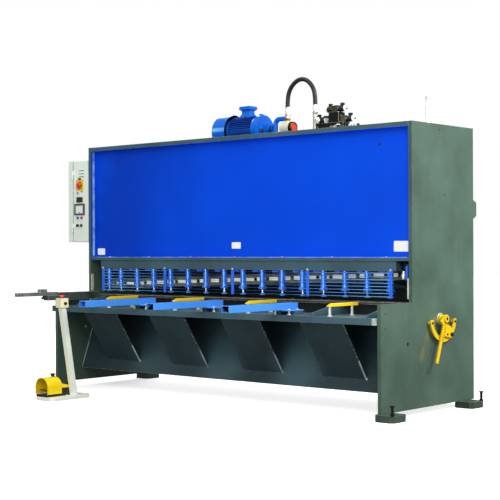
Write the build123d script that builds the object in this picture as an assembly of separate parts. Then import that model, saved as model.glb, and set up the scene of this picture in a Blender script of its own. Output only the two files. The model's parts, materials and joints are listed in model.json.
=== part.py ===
from build123d import *
import os
from math import atan, cos, radians, sin, tan

# Hydraulic swing beam plate shear, sized for sheet 3.2 m wide.
# X runs along the blades, Y runs from the operator to the rear, Z is up.
# The origin is on the floor, at the centre of the anchor hole rectangle.

# Side frames and feet
overall_width = 3500.0
side_plate_thickness = 30.0
side_plate_depth = 840.0
lower_step = 392.0
frame_height = 2135.0
table_height = 820.0
foot_height = 50.0
foot_width = 170.0
foot_length = 180.0
foot_chamfer = 25.0
right_foot_overhang = 120.0
left_foot_overhang = 60.0
anchor_span = 3570.0
anchor_hole_radius = 9.0
front_anchor_from_cover = -330.0
rear_anchor_from_cover = 710.0
plate_slot_radius = 14.0
plate_hole_radius = 6.0

# Lugs and strips on the side plates
lug_height = 1438.0
lug_length = 147.0
lug_reach = 45.0
lug_thickness = 12.0
rear_tube_setback = 780.0
rear_tube_depth = 55.0
rear_tube_lift = 58.0
rear_tube_height = 188.0
rear_tube_wall = 8.0
strip_thickness = 14.0
strip_depth = 22.0
strip_length = 175.0
strip_lift = 25.0

# Levelling screws
screw_radius = 10.0
screw_clearance = 0.4
screw_corner_inset = 20.0
screw_tip_height = 6.0
screw_top_height = 122.0
screw_head_radius = 17.0
screw_head_height = 10.0
lock_nut_radius = 18.0
lock_nut_height = 12.0

# Table and lower structure
table_plate_thickness = 20.0
table_front_setback = 50.0
bed_thickness = 60.0
bed_setback = 54.0
bed_bottom = 400.0
blade_length = 3200.0
blade_thickness = 20.0
blade_height = 80.0
beam_flange_thickness = 12.0
beam_web_overhang = 30.0
beam_flange_top = 722.0
beam_web_height = 50.0
beam_lip_depth = 52.0
beam_lip_thickness = 8.0
chute_plate_thickness = 14.0
chute_lower_height = 160.0
chute_lower_setback = -115.0
chute_lean_degrees = 19.6
apron_width = 400.0
apron_pitch = 800.0
apron_thickness = 12.0
apron_setback = 27.0
apron_slope = 0.663
gusset_thickness = 12.0
gusset_tip_height = 23.0
gusset_drop = 8.0
gusset_inset = 4.0
gusset_pitch = 785.0
gusset_start_x = -1218.0
gusset_left_x = -1460.0
gusset_right_x = 1632.0

# Rails and arms in front of the table
rail_width = 26.0
rail_height = 25.0
rail_length = 355.0
rail_tip = 45.0
rail_start_x = -1060.0
rail_pitch = 785.0
rail_gap = 4.0
rail_drop = 3.0
post_radius = 10.0
post_rear_inset = 62.0
post_front_inset = 330.0
arm_width = 75.0
arm_height = 50.0
arm_wall = 5.0
arm_length = 770.0
arm_drop = 10.0
arm_rear_setback = -262.0
arm_start_x = -657.0
arm_pitch = 760.0
arm_flange_width = 195.0
arm_flange_length = 178.0
arm_flange_thickness = 8.0
arm_leg_width = 60.0
arm_leg_length = 105.0

# Squaring arm at the left end
squaring_x = -1600.0
squaring_width = 66.0
squaring_height = 40.0
squaring_drop = 2.0
squaring_length = 570.0
squaring_low_length = 120.0
squaring_rise = 26.0
scale_bar_width = 36.0
scale_bar_height = 32.0
scale_bar_overhang = 324.0
stop_length = 80.0
stop_height = 26.0

# Cover, top rail and clamping beam
tie_height = 25.0
tie_top = 1145.0
tie_depth = 100.0
top_rail_height = 35.0
top_rail_depth = 60.0
cover_recess = 55.0
cover_thickness = 4.0
cover_side_gap = 1.0
cover_hole_radius = 9.0
cover_hole_x = 1430.0
cover_hole_drop = 150.0
clamp_beam_length = 3200.0
clamp_beam_height = 75.0
clamp_beam_setback = 10.0
clamp_beam_depth = 80.0

# Hold downs
hold_down_count = 16
hold_down_end_x = 1525.0
hold_down_pitch = 207.0
hold_down_setback = 50.0
clamp_body_radius = 25.0
clamp_collar_radius = 33.0
clamp_collar_height = 26.0
clamp_body_length = 155.0
clamp_bore_depth = 130.0
plunger_radius = 10.0
plunger_clearance = 0.5
foot_pad_radius = 23.0
foot_pad_height = 14.0
foot_pad_neck = 16.0
foot_pad_lift = 25.0
plunger_length = 135.0
repeat_sides = 16
clamp_stroke = 20.0

# Finger guard
guard_bar_width = 26.0
guard_bar_thickness = 10.0
guard_bar_pitch = 780.0
guard_rod_radius = 3.2
guard_rod_count = 8
guard_rod_sides = 8
guard_rod_pitch = 25.0
guard_rod_overhang = 20.0
guard_lift = 25.0

# Swing beam
pivot_setback = 770.0
pivot_rise = 130.0
pivot_pin_radius = 35.0
pivot_clearance = 0.06
pivot_pin_length = 85.0
pin_flange_radius = 62.0
pin_flange_thickness = 12.0
pin_end_clearance = 5.0
blade_rake_degrees = 2.05
blade_lift = 142.0
blade_gap = 6.0
beam_plate_thickness = 40.0
beam_length = 3360.0
beam_rise = 268.0
beam_arm_thickness = 40.0
beam_rib_thickness = 20.0
beam_rib_pitch = 660.0
beam_hub_radius = 65.0
beam_seat_overlap = 15.0
beam_arm_rise = 60.0
beam_tube_radius = 60.0
beam_web_thickness = 12.0

# Main cylinders
cylinder_x = 1650.0
cylinder_setback = 180.0
cylinder_radius = 45.0
cylinder_clearance = 100.0
cylinder_cap = 20.0
piston_rod_radius = 25.0
piston_rod_clearance = 0.5
piston_rod_length = 330.0
piston_gap = 9.0

# Tank and power unit
tank_setback = 75.0
tank_depth = 565.0
tank_bottom = 1640.0
tank_top = 2045.0
motor_setback = 360.0
motor_axis_rise = 160.0
fan_cover_radius = 145.0
fan_cover_start = -440.0
fan_cover_length = 155.0
motor_body_radius = 112.0
motor_body_length = 275.0
motor_fin_count = 28
motor_fin_height = 14.0
motor_fin_thickness = 5.0
motor_end_length = 20.0
motor_foot_inset = 40.0
motor_foot_spread = 105.0
motor_foot_width = 60.0
motor_foot_height = 18.0
motor_foot_web = 16.0
motor_foot_joint = 40.0
fan_cover_chamfer = 22.0
motor_flange_radius = 122.0
motor_flange_thickness = 55.0
bell_radius = 50.0
bell_length = 95.0
pump_radius = 30.0
pump_length = 50.0
terminal_box_width = 118.0
terminal_box_depth = 104.0
terminal_box_inset = 148.0
terminal_neck_width = 80.0
terminal_neck_height = 54.0
terminal_box_height = 26.0
filter_radius = 48.0
filter_x = 228.0
filter_length = 137.0
filter_saddle_width = 70.0
filter_saddle_depth = 60.0
hose_diameter = 36.0
hose_arch_rise = 222.0
hose_left_x = 294.0
hose_right_x = 582.0
hose_fitting_rise = 167.0
fitting_radius = 21.0
filter_boss = 8.0
filter_boss_radius = 25.0
suction_pipe_radius = 21.0
suction_pipe_x = 165.0
suction_pipe_rise = 78.0
suction_bend_radius = 45.0

# Valve group on the tank
manifold_x = 640.0
manifold_length = 265.0
manifold_depth = 120.0
manifold_height = 165.0
manifold_column_x = 748.0
manifold_column_width = 100.0
manifold_column_depth = 84.0
manifold_column_height = 250.0
port_pipe_rise = 132.0
port_pipe_radius = 20.0
port_pipe_length = 105.0
port_nut_radius = 28.0
port_nut_length = 30.0
valve_width = 56.0
valve_height = 52.0
coil_radius = 25.0
coil_length = 62.0
coil_nut_radius = 12.0
coil_nut_length = 14.0
relief_valve_x = 722.0
relief_valve_radius = 16.0
relief_valve_height = 58.0
relief_knob_radius = 22.0
relief_knob_height = 16.0
upright_pipe_x = 1650.0
upright_pipe_radius = 16.0
upright_pipe_height = 300.0

# Electrical cabinet on the left frame
cabinet_width = 276.0
cabinet_depth = 250.0
cabinet_bottom = 1284.0
cabinet_height = 740.0
cabinet_wall = 4.0
cabinet_frame_depth = 14.0
cabinet_strip_width = 63.0
door_thickness = 9.0
door_side_gap = 6.0
door_end_gap = 3.0
hinge_pin_radius = 3.0
hinge_knuckle_radius = 6.0
hinge_offset = 11.0
hinge_knuckle_length = 40.0
hinge_clearance = 0.06
hinge_end_gap = 0.3
hinge_leaf = 12.0
hinge_leaf_thickness = 4.0
main_switch_x = -1870.0
main_switch_height = 1802.0
switch_stem_radius = 7.0
switch_clearance = 0.5
switch_disc_radius = 27.0
switch_disc_depth = 12.0
switch_plate_thickness = 3.0
switch_stem_inside = 4.0
switch_grip_width = 18.0
switch_grip_length = 58.0
switch_grip_depth = 20.0
plate_size = 100.0
counter_width = 84.0
counter_height = 50.0
counter_depth = 8.0
counter_drop = 133.0
display_width = 136.0
display_height = 104.0
display_depth = 10.0
display_recess = 3.0
display_border = 14.0
display_drop = 221.0
small_button_radius = 12.0
small_button_depth = 14.0
selector_depth = 24.0
button_spread = 26.0
button_drop = 298.0
selector_drop = 367.0

# Gap lever on the right frame
lever_setback = 368.0
lever_height = 690.0
lever_shaft_radius = 20.0
lever_shaft_clearance = 0.06
lever_rest_degrees = 250.0
quadrant_outer = 172.0
quadrant_inner = 138.0
quadrant_thickness = 10.0
quadrant_standoff = 22.0
lever_thickness = 12.0
lever_hub_radius = 30.0
lever_tail = [(196.0, 4.0), (196.0, -4.0), (149.0, -6.0), (57.0, -9.0)]
lever_crank = [(64.0, -54.0), (29.0, -112.0), (29.0, 112.0), (42.0, 37.0)]
lever_lug = [(84.0, 67.0), (142.0, 71.0), (167.0, 49.0), (130.0, 16.0), (150.0, 6.0)]
lever_length = 345.0
handle_radius = 13.0
handle_length = 165.0

# Foot switch stand
stand_x = -1060.0
stand_front = -1100.0
stand_width = 220.0
stand_length = 420.0
stand_plate_height = 28.0
stand_corner = 30.0
column_size = 46.0
column_x = -1005.0
column_foot_setback = -825.0
column_lean = 119.0
column_top = 745.0
stop_box_size = 76.0
button_radius = 20.0
button_stem_radius = 8.0
pedal_inset = 10.0
pedal_hood_radius = 76.0
pedal_hood_wall = 5.0
pedal_hood_length = 150.0
pedal_hood_top = 182.0
pedal_tail_height = 92.0
pedal_base_height = 20.0
pedal_base_width = 128.0
pedal_base_length = 275.0
treadle_width = 84.0
treadle_length = 108.0
treadle_rise = 14.0
treadle_side_gap = 5.0
treadle_ear = 8.0
treadle_pin_radius = 4.0

cover_plane = -(front_anchor_from_cover + rear_anchor_from_cover) / 2
outer_x = overall_width / 2
inner_x = outer_x - side_plate_thickness
rear_plane = cover_plane + side_plate_depth
apron_plane = cover_plane - lower_step
blade_plane = cover_plane + bed_setback + bed_thickness + blade_thickness
table_front = cover_plane - table_front_setback
bed_front = cover_plane + bed_setback
table_underside = table_height - table_plate_thickness
pivot_y = cover_plane + pivot_setback
pivot_height = table_height + pivot_rise
blade_line_height = table_height + blade_lift
beam_top = blade_line_height + beam_rise
cylinder_bottom = beam_top + cylinder_clearance
tie_bottom = tie_top - tie_height
clamp_beam_bottom = tie_bottom - clamp_beam_height
hold_down_y = cover_plane + hold_down_setback


def block(x_span, y_span, z_span):
    """Rectangular block between the two ends given on each axis."""
    size = [end - start for start, end in (x_span, y_span, z_span)]
    corner = Pos(x_span[0], y_span[0], z_span[0])
    return corner * Box(*size, align=(Align.MIN, Align.MIN, Align.MIN))


def slab_x(outline, x_start, width):
    """Side outline in Y and Z, given a width along X."""
    face = Plane.YZ * Polygon(*outline, align=None)
    return Pos(x_start, 0, 0) * extrude(face, amount=width, dir=(1, 0, 0))


def slab_y(outline, y_start, depth):
    """Front outline in X and Z, given a depth along Y."""
    face = Plane.XZ * Polygon(*outline, align=None)
    return Pos(0, y_start, 0) * extrude(face, amount=depth, dir=(0, 1, 0))


def rod(start, direction, radius, length):
    """Round bar that starts at a point and runs along a direction."""
    base = Plane(origin=start, z_dir=direction)
    return base * Cylinder(radius, length, align=(Align.CENTER, Align.CENTER, Align.MIN))


def faceted_bar(start, direction, radius, length, sides):
    """Bar with flat sides that starts at a point and runs along a direction."""
    base = Plane(origin=start, z_dir=direction)
    return extrude(base * RegularPolygon(radius, sides), length)


def turned(profile, place):
    """Solid of revolution of a radius and height outline about a vertical axis."""
    face = Plane.XZ * Polygon(*profile, align=None)
    return Pos(*place) * revolve(face, Axis.Z)


def together(solids):
    """Group of solids that share one node without touching."""
    return Compound(children=[part for solid in solids for part in solid.solids()])


def blade_line(x):
    """Height of the row of blade bolts at a place along the machine."""
    return blade_line_height + x * tan(radians(blade_rake_degrees))


def chute_front(z):
    """Front face of the sloping wall below the table, at a height."""
    lean = tan(radians(chute_lean_degrees))
    return cover_plane + chute_lower_setback + (z - chute_lower_height) * lean


# Frame


def side_frame(side):
    """One side plate, stepped out below the table, with its drilled holes."""
    outline = [
        (apron_plane, foot_height),
        (rear_plane, foot_height),
        (rear_plane, frame_height),
        (cover_plane, frame_height),
        (cover_plane, table_height),
        (apron_plane, table_height),
    ]
    start = inner_x if side > 0 else -outer_x
    plate = slab_x(outline, start, side_plate_thickness)
    drillings = [
        (cover_plane - 60, 522, plate_slot_radius),
        (cover_plane - 337, 753, plate_hole_radius),
        (cover_plane - 338, 650, plate_hole_radius),
        (cover_plane + 363, 2091, plate_hole_radius),
        (cover_plane + 432, 1608, plate_hole_radius),
    ]
    if side > 0:
        drillings.append((
            cover_plane + lever_setback,
            lever_height,
            lever_shaft_radius + lever_shaft_clearance,
        ))
    for y, z, radius in drillings:
        plate -= rod((start - 1, y, z), (1, 0, 0), radius, side_plate_thickness + 2)
    return plate


def foot_places():
    """Foot centre, outer edge direction and end direction of the four feet."""
    right = outer_x + right_foot_overhang - foot_width / 2
    left = -(outer_x + left_foot_overhang - foot_width / 2)
    front = cover_plane + front_anchor_from_cover
    rear = cover_plane + rear_anchor_from_cover
    return [(x, y, side, end) for x, side in ((right, 1), (left, -1)) for y, end in ((front, -1), (rear, 1))]


def screw_place(x, y, side, end):
    """Centre of a levelling screw near the outer corner of its foot."""
    x_screw = x + side * (foot_width / 2 - screw_corner_inset)
    y_screw = y + end * (foot_length / 2 - screw_corner_inset)
    return x_screw, y_screw


def floor_feet():
    """Four foot pads with an anchor hole and a screw hole in each."""
    pads = []
    for x, y, side, end in foot_places():
        pad = block(
            (x - foot_width / 2, x + foot_width / 2),
            (y - foot_length / 2, y + foot_length / 2),
            (0, foot_height),
        )
        pad = chamfer(pad.edges().filter_by(Axis.Z), foot_chamfer)
        pad -= rod((side * anchor_span / 2, y, -1), (0, 0, 1), anchor_hole_radius, foot_height + 2)
        x_screw, y_screw = screw_place(x, y, side, end)
        pad -= rod((x_screw, y_screw, -1), (0, 0, 1), screw_radius + screw_clearance, foot_height + 2)
        pads.append(pad)
    return together(pads)


def levelling_screws():
    """Four screws with a lock nut on the foot and a flat head on top."""
    screws = []
    for x, y, side, end in foot_places():
        x_screw, y_screw = screw_place(x, y, side, end)
        head_bottom = screw_top_height - screw_head_height
        profile = [
            (0, screw_tip_height),
            (screw_radius, screw_tip_height),
            (screw_radius, head_bottom),
            (screw_head_radius, head_bottom),
            (screw_head_radius, screw_top_height),
            (0, screw_top_height),
        ]
        nut = faceted_bar((x_screw, y_screw, foot_height), (0, 0, 1), lock_nut_radius, lock_nut_height, 6)
        screws.append(turned(profile, (x_screw, y_screw, 0)) + nut)
    return together(screws)


def pivot_pins():
    """Two flanged pins inside the side plates that carry the swing beam."""
    pins = []
    for side in (-1, 1):
        start = (side * inner_x, pivot_y, pivot_height)
        pin = rod(start, (-side, 0, 0), pivot_pin_radius, pivot_pin_length)
        pin += rod(start, (-side, 0, 0), pin_flange_radius, pin_flange_thickness)
        pins.append(pin)
    return together(pins)


def rear_brackets():
    """Two lugs behind the side plates that carry the rear guard."""
    top = lug_height + lug_length
    lugs = []
    for side in (-1, 1):
        outer = side * outer_x
        inner = outer - side * lug_thickness
        outline = [
            (rear_plane, lug_height),
            (rear_plane + lug_reach, lug_height + lug_reach / 2),
            (rear_plane + lug_reach, top - lug_reach / 2),
            (rear_plane, top),
        ]
        lugs.append(slab_x(outline, min(inner, outer), lug_thickness))
    return together(lugs)


def rear_cross_tube():
    """Box tube that ties the side plates together behind and below the beam."""
    front = cover_plane + rear_tube_setback
    top = table_height + rear_tube_lift
    wall = rear_tube_wall
    tube = block((-inner_x, inner_x), (front, front + rear_tube_depth), (top - rear_tube_height, top))
    return tube - block(
        (-inner_x, inner_x),
        (front + wall, front + rear_tube_depth - wall),
        (top - rear_tube_height + wall, top - wall),
    )


def throat_strips():
    """Wear strips inside the side plates, beside the way in for the sheet."""
    strips = []
    for side in (-1, 1):
        outer = side * inner_x
        inner = outer - side * strip_thickness
        strips.append(block(
            (min(inner, outer), max(inner, outer)),
            (cover_plane, cover_plane + strip_depth),
            (table_height + strip_lift, table_height + strip_length),
        ))
    return together(strips)


# Table


def table_top():
    """Flat plate on which the sheet lies."""
    return block(
        (-inner_x, inner_x),
        (table_front, bed_front + bed_thickness),
        (table_underside, table_height),
    )


def table_bed():
    """Deep upright plate under the table that takes the cutting load."""
    return block(
        (-inner_x, inner_x),
        (bed_front, bed_front + bed_thickness),
        (bed_bottom, table_underside),
    )


def lower_blade():
    """Fixed blade on the rear of the bed, flush with the table."""
    half = blade_length / 2
    return block(
        (-half, half),
        (blade_plane - blade_thickness, blade_plane),
        (table_height - blade_height, table_height),
    )


def table_front_beam():
    """Folded beam along the front with a wide flange back to the bed."""
    bottom = beam_flange_top - beam_web_height
    flange_bottom = beam_flange_top - beam_flange_thickness
    web_front = apron_plane - beam_flange_thickness
    outline = [
        (web_front, bottom),
        (apron_plane + beam_lip_depth, bottom),
        (apron_plane + beam_lip_depth, bottom + beam_lip_thickness),
        (apron_plane, bottom + beam_lip_thickness),
        (apron_plane, flange_bottom),
        (bed_front, flange_bottom),
        (bed_front, beam_flange_top),
        (web_front, beam_flange_top),
    ]
    beam = slab_x(outline, -inner_x, 2 * inner_x)
    return beam + block(
        (-outer_x - beam_web_overhang, -inner_x),
        (web_front, apron_plane),
        (bottom, beam_flange_top),
    )


def chute_wall():
    """Sloping front wall that hangs from the bed down to the free lower edge."""
    lean = radians(chute_lean_degrees)
    level_thickness = chute_plate_thickness / cos(lean)
    run = bed_front - chute_front(chute_lower_height)
    front_top = chute_lower_height + run / tan(lean)
    back_top = chute_lower_height + (run - level_thickness) / tan(lean)
    outline = [
        (chute_front(chute_lower_height), chute_lower_height),
        (bed_front, front_top),
        (bed_front, back_top),
        (chute_front(chute_lower_height) + level_thickness, chute_lower_height),
    ]
    return slab_x(outline, -inner_x, 2 * inner_x)


def apron_plates():
    """Four sloping plates from the front beam down to the chute wall."""
    top = beam_flange_top - beam_web_height
    level_thickness = apron_thickness / cos(atan(apron_slope))
    lean = tan(radians(chute_lean_degrees))
    outline_front = []
    outline_back = []
    for offset, side in ((0, outline_front), (level_thickness, outline_back)):
        start = apron_plane + apron_setback + offset
        fall = (chute_front(top) - start) / (apron_slope + lean)
        side.append((start, top))
        side.append((start + fall * apron_slope, top - fall))
    outline = outline_front + outline_back[::-1]
    plates = []
    for index in range(4):
        centre = (index - 1.5) * apron_pitch
        plates.append(slab_x(outline, centre - apron_width / 2, apron_width))
    return together(plates)


def table_gussets():
    """Upright wedge plates between the front beam and the table edge."""
    tip = beam_flange_top + gusset_tip_height
    outline = [
        (apron_plane + gusset_inset, beam_flange_top),
        (apron_plane + gusset_inset, tip),
        (table_front, table_height - gusset_drop),
        (table_front, table_underside),
        (bed_front, table_underside),
        (bed_front, beam_flange_top),
    ]
    places = [gusset_left_x, gusset_right_x]
    places += [gusset_start_x + index * gusset_pitch for index in range(4)]
    return together([slab_x(outline, x - gusset_thickness / 2, gusset_thickness) for x in places])


def rail_span():
    """Front and rear ends of the yellow rails."""
    rear = table_front - rail_gap
    return rear - rail_length, rear


def support_rails():
    """Four yellow bars with a slanted tip that carry the sheet to the table."""
    front, rear = rail_span()
    top = table_height - rail_drop
    bottom = top - rail_height
    outline = [
        (front, bottom),
        (rear, bottom),
        (rear, top),
        (front + rail_tip, top),
        (front, bottom + rail_height / 3),
    ]
    places = [rail_start_x + index * rail_pitch for index in range(4)]
    return together([slab_x(outline, x - rail_width / 2, rail_width) for x in places])


def support_posts():
    """Two posts under each yellow rail and the squaring arm, on the front beam."""
    rear = rail_span()[1]
    rail_bottom = table_height - rail_drop - rail_height
    carried = [(rail_start_x + index * rail_pitch, rail_bottom) for index in range(4)]
    carried.append((squaring_x, table_height - squaring_drop - squaring_height))
    posts = []
    for x, top in carried:
        for inset in (post_rear_inset, post_front_inset):
            start = (x, rear - inset, beam_flange_top)
            posts.append(rod(start, (0, 0, 1), post_radius, top - beam_flange_top))
    return together(posts)


def support_arm(centre):
    """Open ended tube that carries wide sheets, with its bolted base flange."""
    rear = cover_plane + arm_rear_setback
    front = rear - arm_length
    top = table_height - arm_drop
    bottom = top - arm_height
    tube = block((centre - arm_width / 2, centre + arm_width / 2), (front, rear), (bottom, top))
    inside = arm_width / 2 - arm_wall
    tube -= block(
        (centre - inside, centre + inside),
        (front - 1, rear + 1),
        (bottom + arm_wall, top - arm_wall),
    )
    flange = block(
        (centre - arm_flange_width / 2, centre + arm_flange_width / 2),
        (rear - arm_flange_length, rear),
        (bottom - arm_flange_thickness, bottom),
    )
    return tube + flange


def support_arms():
    """Three support arms along the front."""
    return together([support_arm(arm_start_x + index * arm_pitch) for index in range(3)])


def arm_brackets():
    """Pairs of short legs on the front beam, one pair under each arm."""
    rear = cover_plane + arm_rear_setback
    top = table_height - arm_drop - arm_height - arm_flange_thickness
    reach = arm_flange_width / 2
    legs = []
    for index in range(3):
        centre = arm_start_x + index * arm_pitch
        for start in (centre - reach, centre + reach - arm_leg_width):
            legs.append(block(
                (start, start + arm_leg_width),
                (rear - arm_leg_length - 10, rear - 10),
                (beam_flange_top, top),
            ))
    return together(legs)


def squaring_arm():
    """Stepped arm at the left end, square to the blade."""
    start = squaring_x - squaring_width / 2
    top = table_height - squaring_drop
    bottom = top - squaring_height
    outline = [
        (table_front - squaring_length, bottom),
        (table_front, bottom),
        (table_front, top + squaring_rise),
        (table_front - squaring_length + squaring_low_length, top + squaring_rise),
        (table_front - squaring_length + squaring_low_length, top),
        (table_front - squaring_length, top),
    ]
    return slab_x(outline, start, squaring_width)


def squaring_scale_bar():
    """Light bar that runs on from the squaring arm, with its stop block."""
    step = table_front - squaring_length + squaring_low_length
    end = table_front - squaring_length - scale_bar_overhang
    bottom = table_height - squaring_drop
    width = (squaring_x - scale_bar_width / 2, squaring_x + scale_bar_width / 2)
    bar = block(width, (end, step), (bottom, bottom + scale_bar_height))
    stop_end = table_front - squaring_length
    stop_top = bottom + scale_bar_height + stop_height
    stop = block(width, (stop_end - stop_length, stop_end), (bottom, stop_top))
    return bar + chamfer(stop.edges().filter_by(Axis.X).group_by(Axis.Z)[-1], 6)


# Cover, clamping beam and guard


def top_rail():
    """Square rail across the top of the front."""
    return block(
        (-inner_x, inner_x),
        (cover_plane, cover_plane + top_rail_depth),
        (frame_height - top_rail_height, frame_height),
    )


def front_cover():
    """Sheet metal cover, folded forward along its four edges."""
    half = inner_x - cover_side_gap
    bottom = tie_top
    top = frame_height - top_rail_height
    back = cover_plane + cover_recess + cover_thickness
    cover = block((-half, half), (cover_plane + 2, back), (bottom, top))
    cover -= block(
        (-half + cover_thickness, half - cover_thickness),
        (cover_plane, cover_plane + cover_recess),
        (bottom + cover_thickness, top - cover_thickness),
    )
    for side in (-1, 1):
        start = (side * cover_hole_x, cover_plane + cover_recess - 1, frame_height - cover_hole_drop)
        cover -= rod(start, (0, 1, 0), cover_hole_radius, cover_thickness + 2)
    return cover


def tie_plate():
    """Flat tie between the side plates, under the cover."""
    return block(
        (-inner_x, inner_x),
        (cover_plane, cover_plane + tie_depth),
        (tie_bottom, tie_top),
    )


def clamp_beam():
    """Beam under the tie plate that carries the hold downs."""
    front = cover_plane + clamp_beam_setback
    half = clamp_beam_length / 2
    return block((-half, half), (front, front + clamp_beam_depth), (clamp_beam_bottom, tie_bottom))


def hold_down_places():
    """Places of the hold downs, closer together at the left end."""
    row = [hold_down_end_x - index * hold_down_pitch for index in range(hold_down_count - 1)]
    return row + [-hold_down_end_x]


def hold_down_cylinders():
    """Cylinders with a wide collar that hang under the clamping beam."""
    bottom = clamp_beam_bottom - clamp_body_length
    bore = plunger_radius + plunger_clearance
    up = (0, 0, 1)
    cylinders = []
    for x in hold_down_places():
        base = (x, hold_down_y, bottom)
        body = faceted_bar(base, up, clamp_body_radius, clamp_body_length, repeat_sides)
        collar = faceted_bar(base, up, clamp_collar_radius, clamp_collar_height, repeat_sides)
        hole = faceted_bar(base, up, bore, clamp_bore_depth + clamp_stroke, repeat_sides)
        cylinders.append(body + collar - hole)
    return together(cylinders)


def hold_down_feet():
    """Plungers with flared feet that press on the sheet."""
    bottom = table_height + foot_pad_lift
    feet = []
    for x in hold_down_places():
        sole = Pos(x, hold_down_y, bottom) * RegularPolygon(foot_pad_radius, repeat_sides)
        neck = Pos(x, hold_down_y, bottom + foot_pad_height) * RegularPolygon(foot_pad_neck, repeat_sides)
        pad = loft([sole, neck])
        stem = faceted_bar((x, hold_down_y, bottom), (0, 0, 1), plunger_radius, plunger_length, repeat_sides)
        feet.append(pad + stem)
    return together(feet)


def finger_guard():
    """Row of thin rods held by five flat bars on the clamping beam."""
    back = cover_plane + clamp_beam_setback
    bottom = table_height + guard_lift
    top = clamp_beam_bottom + 17
    bars = []
    for index in range(5):
        x = (index - 2) * guard_bar_pitch
        bars.append(block(
            (x - guard_bar_width / 2, x + guard_bar_width / 2),
            (back - guard_bar_thickness, back),
            (bottom, top),
        ))
    rods = []
    half = 2 * guard_bar_pitch + guard_rod_overhang
    first = bottom + 11
    for index in range(guard_rod_count):
        start = (-half, back - guard_bar_thickness / 2, first + index * guard_rod_pitch)
        rods.append(faceted_bar(start, (1, 0, 0), guard_rod_radius, 2 * half, guard_rod_sides))
    return bars[0].fuse(*bars[1:], *rods)


# Swing beam


def beam_back():
    """Rear face of the swing beam's front plate."""
    return blade_plane + blade_gap + blade_thickness + beam_plate_thickness


def beam_front_plate():
    """Front plate of the swing beam, raked along its lower edge like the blade."""
    half = beam_length / 2
    outline = [
        (-half, blade_line(-half) - beam_seat_overlap),
        (half, blade_line(half) - beam_seat_overlap),
        (half, beam_top),
        (-half, beam_top),
    ]
    return slab_y(outline, beam_back() - beam_plate_thickness, beam_plate_thickness)


def beam_tube():
    """Tube about the pivots with a bored hub at each end."""
    half = beam_length / 2
    tube = rod((-half, pivot_y, pivot_height), (1, 0, 0), beam_tube_radius, beam_length)
    for end in (-half, half - beam_arm_thickness):
        tube += rod((end, pivot_y, pivot_height), (1, 0, 0), beam_hub_radius, beam_arm_thickness)
    bore = pivot_pin_radius + pivot_clearance
    bore_depth = half - (inner_x - pivot_pin_length) + pin_end_clearance
    for end in (-1, 1):
        start = (end * half, pivot_y, pivot_height)
        tube -= rod(start, (-end, 0, 0), bore, bore_depth)
    return tube


def beam_ribs():
    """Five ribs and two thick end arms from the front plate to the tube."""
    back = beam_back()
    low = blade_line(-beam_length / 2) + beam_arm_rise
    side = [
        (back, low),
        (back, beam_top - beam_web_thickness),
        (pivot_y, pivot_height + beam_tube_radius - beam_web_thickness),
        (pivot_y, pivot_height - beam_tube_radius),
    ]
    core = rod((-beam_length / 2, pivot_y, pivot_height), (1, 0, 0), beam_tube_radius, beam_length)
    hub = rod((-beam_length / 2, pivot_y, pivot_height), (1, 0, 0), beam_hub_radius, beam_length)
    ribs = []
    for index in range(5):
        x = (index - 2) * beam_rib_pitch
        ribs.append(slab_x(side, x - beam_rib_thickness / 2, beam_rib_thickness) - core)
    for end in (-beam_length / 2, beam_length / 2 - beam_arm_thickness):
        ribs.append(slab_x(side, end, beam_arm_thickness) - hub)
    return together(ribs)


def beam_top_web():
    """Sloping top plate of the swing beam."""
    back = beam_back()
    high = pivot_height + beam_tube_radius
    outline = [
        (back, beam_top),
        (pivot_y, high),
        (pivot_y, high - beam_web_thickness),
        (back, beam_top - beam_web_thickness),
    ]
    half = beam_length / 2
    hub = rod((-half, pivot_y, pivot_height), (1, 0, 0), beam_hub_radius, beam_length)
    return slab_x(outline, -half, beam_length) - hub


def upper_blade():
    """Moving blade, set at the rake of the beam."""
    half = blade_length / 2
    outline = [
        (-half, blade_line(-half) - blade_height / 2),
        (half, blade_line(half) - blade_height / 2),
        (half, blade_line(half) + blade_height / 2),
        (-half, blade_line(-half) + blade_height / 2),
    ]
    return slab_y(outline, blade_plane + blade_gap, blade_thickness)


def main_cylinders():
    """Two upright cylinders above the ends of the swing beam."""
    y = cover_plane + cylinder_setback
    bore = piston_rod_radius + piston_rod_clearance
    profile = [
        (bore, cylinder_bottom),
        (cylinder_radius, cylinder_bottom),
        (cylinder_radius, tank_bottom),
        (0, tank_bottom),
        (0, tank_bottom - cylinder_cap),
        (bore, tank_bottom - cylinder_cap),
    ]
    return together([turned(profile, (side * cylinder_x, y, 0)) for side in (-1, 1)])


def cylinder_rods():
    """Piston rods with round ends that push the beam down."""
    y = cover_plane + cylinder_setback
    rods = []
    for side in (-1, 1):
        tip = beam_top + piston_gap + piston_rod_radius
        bar = rod((side * cylinder_x, y, tip), (0, 0, 1), piston_rod_radius, piston_rod_length)
        bar += Pos(side * cylinder_x, y, tip) * Sphere(piston_rod_radius)
        rods.append(bar)
    return together(rods)


# Tank and power unit


def oil_tank():
    """Closed oil tank between the side plates, behind the cover."""
    front = cover_plane + tank_setback
    return block((-inner_x, inner_x), (front, front + tank_depth), (tank_bottom, tank_top))


def motor_axis():
    """Centre line of the motor, as Y and Z."""
    return cover_plane + motor_setback, tank_top + motor_axis_rise


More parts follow.
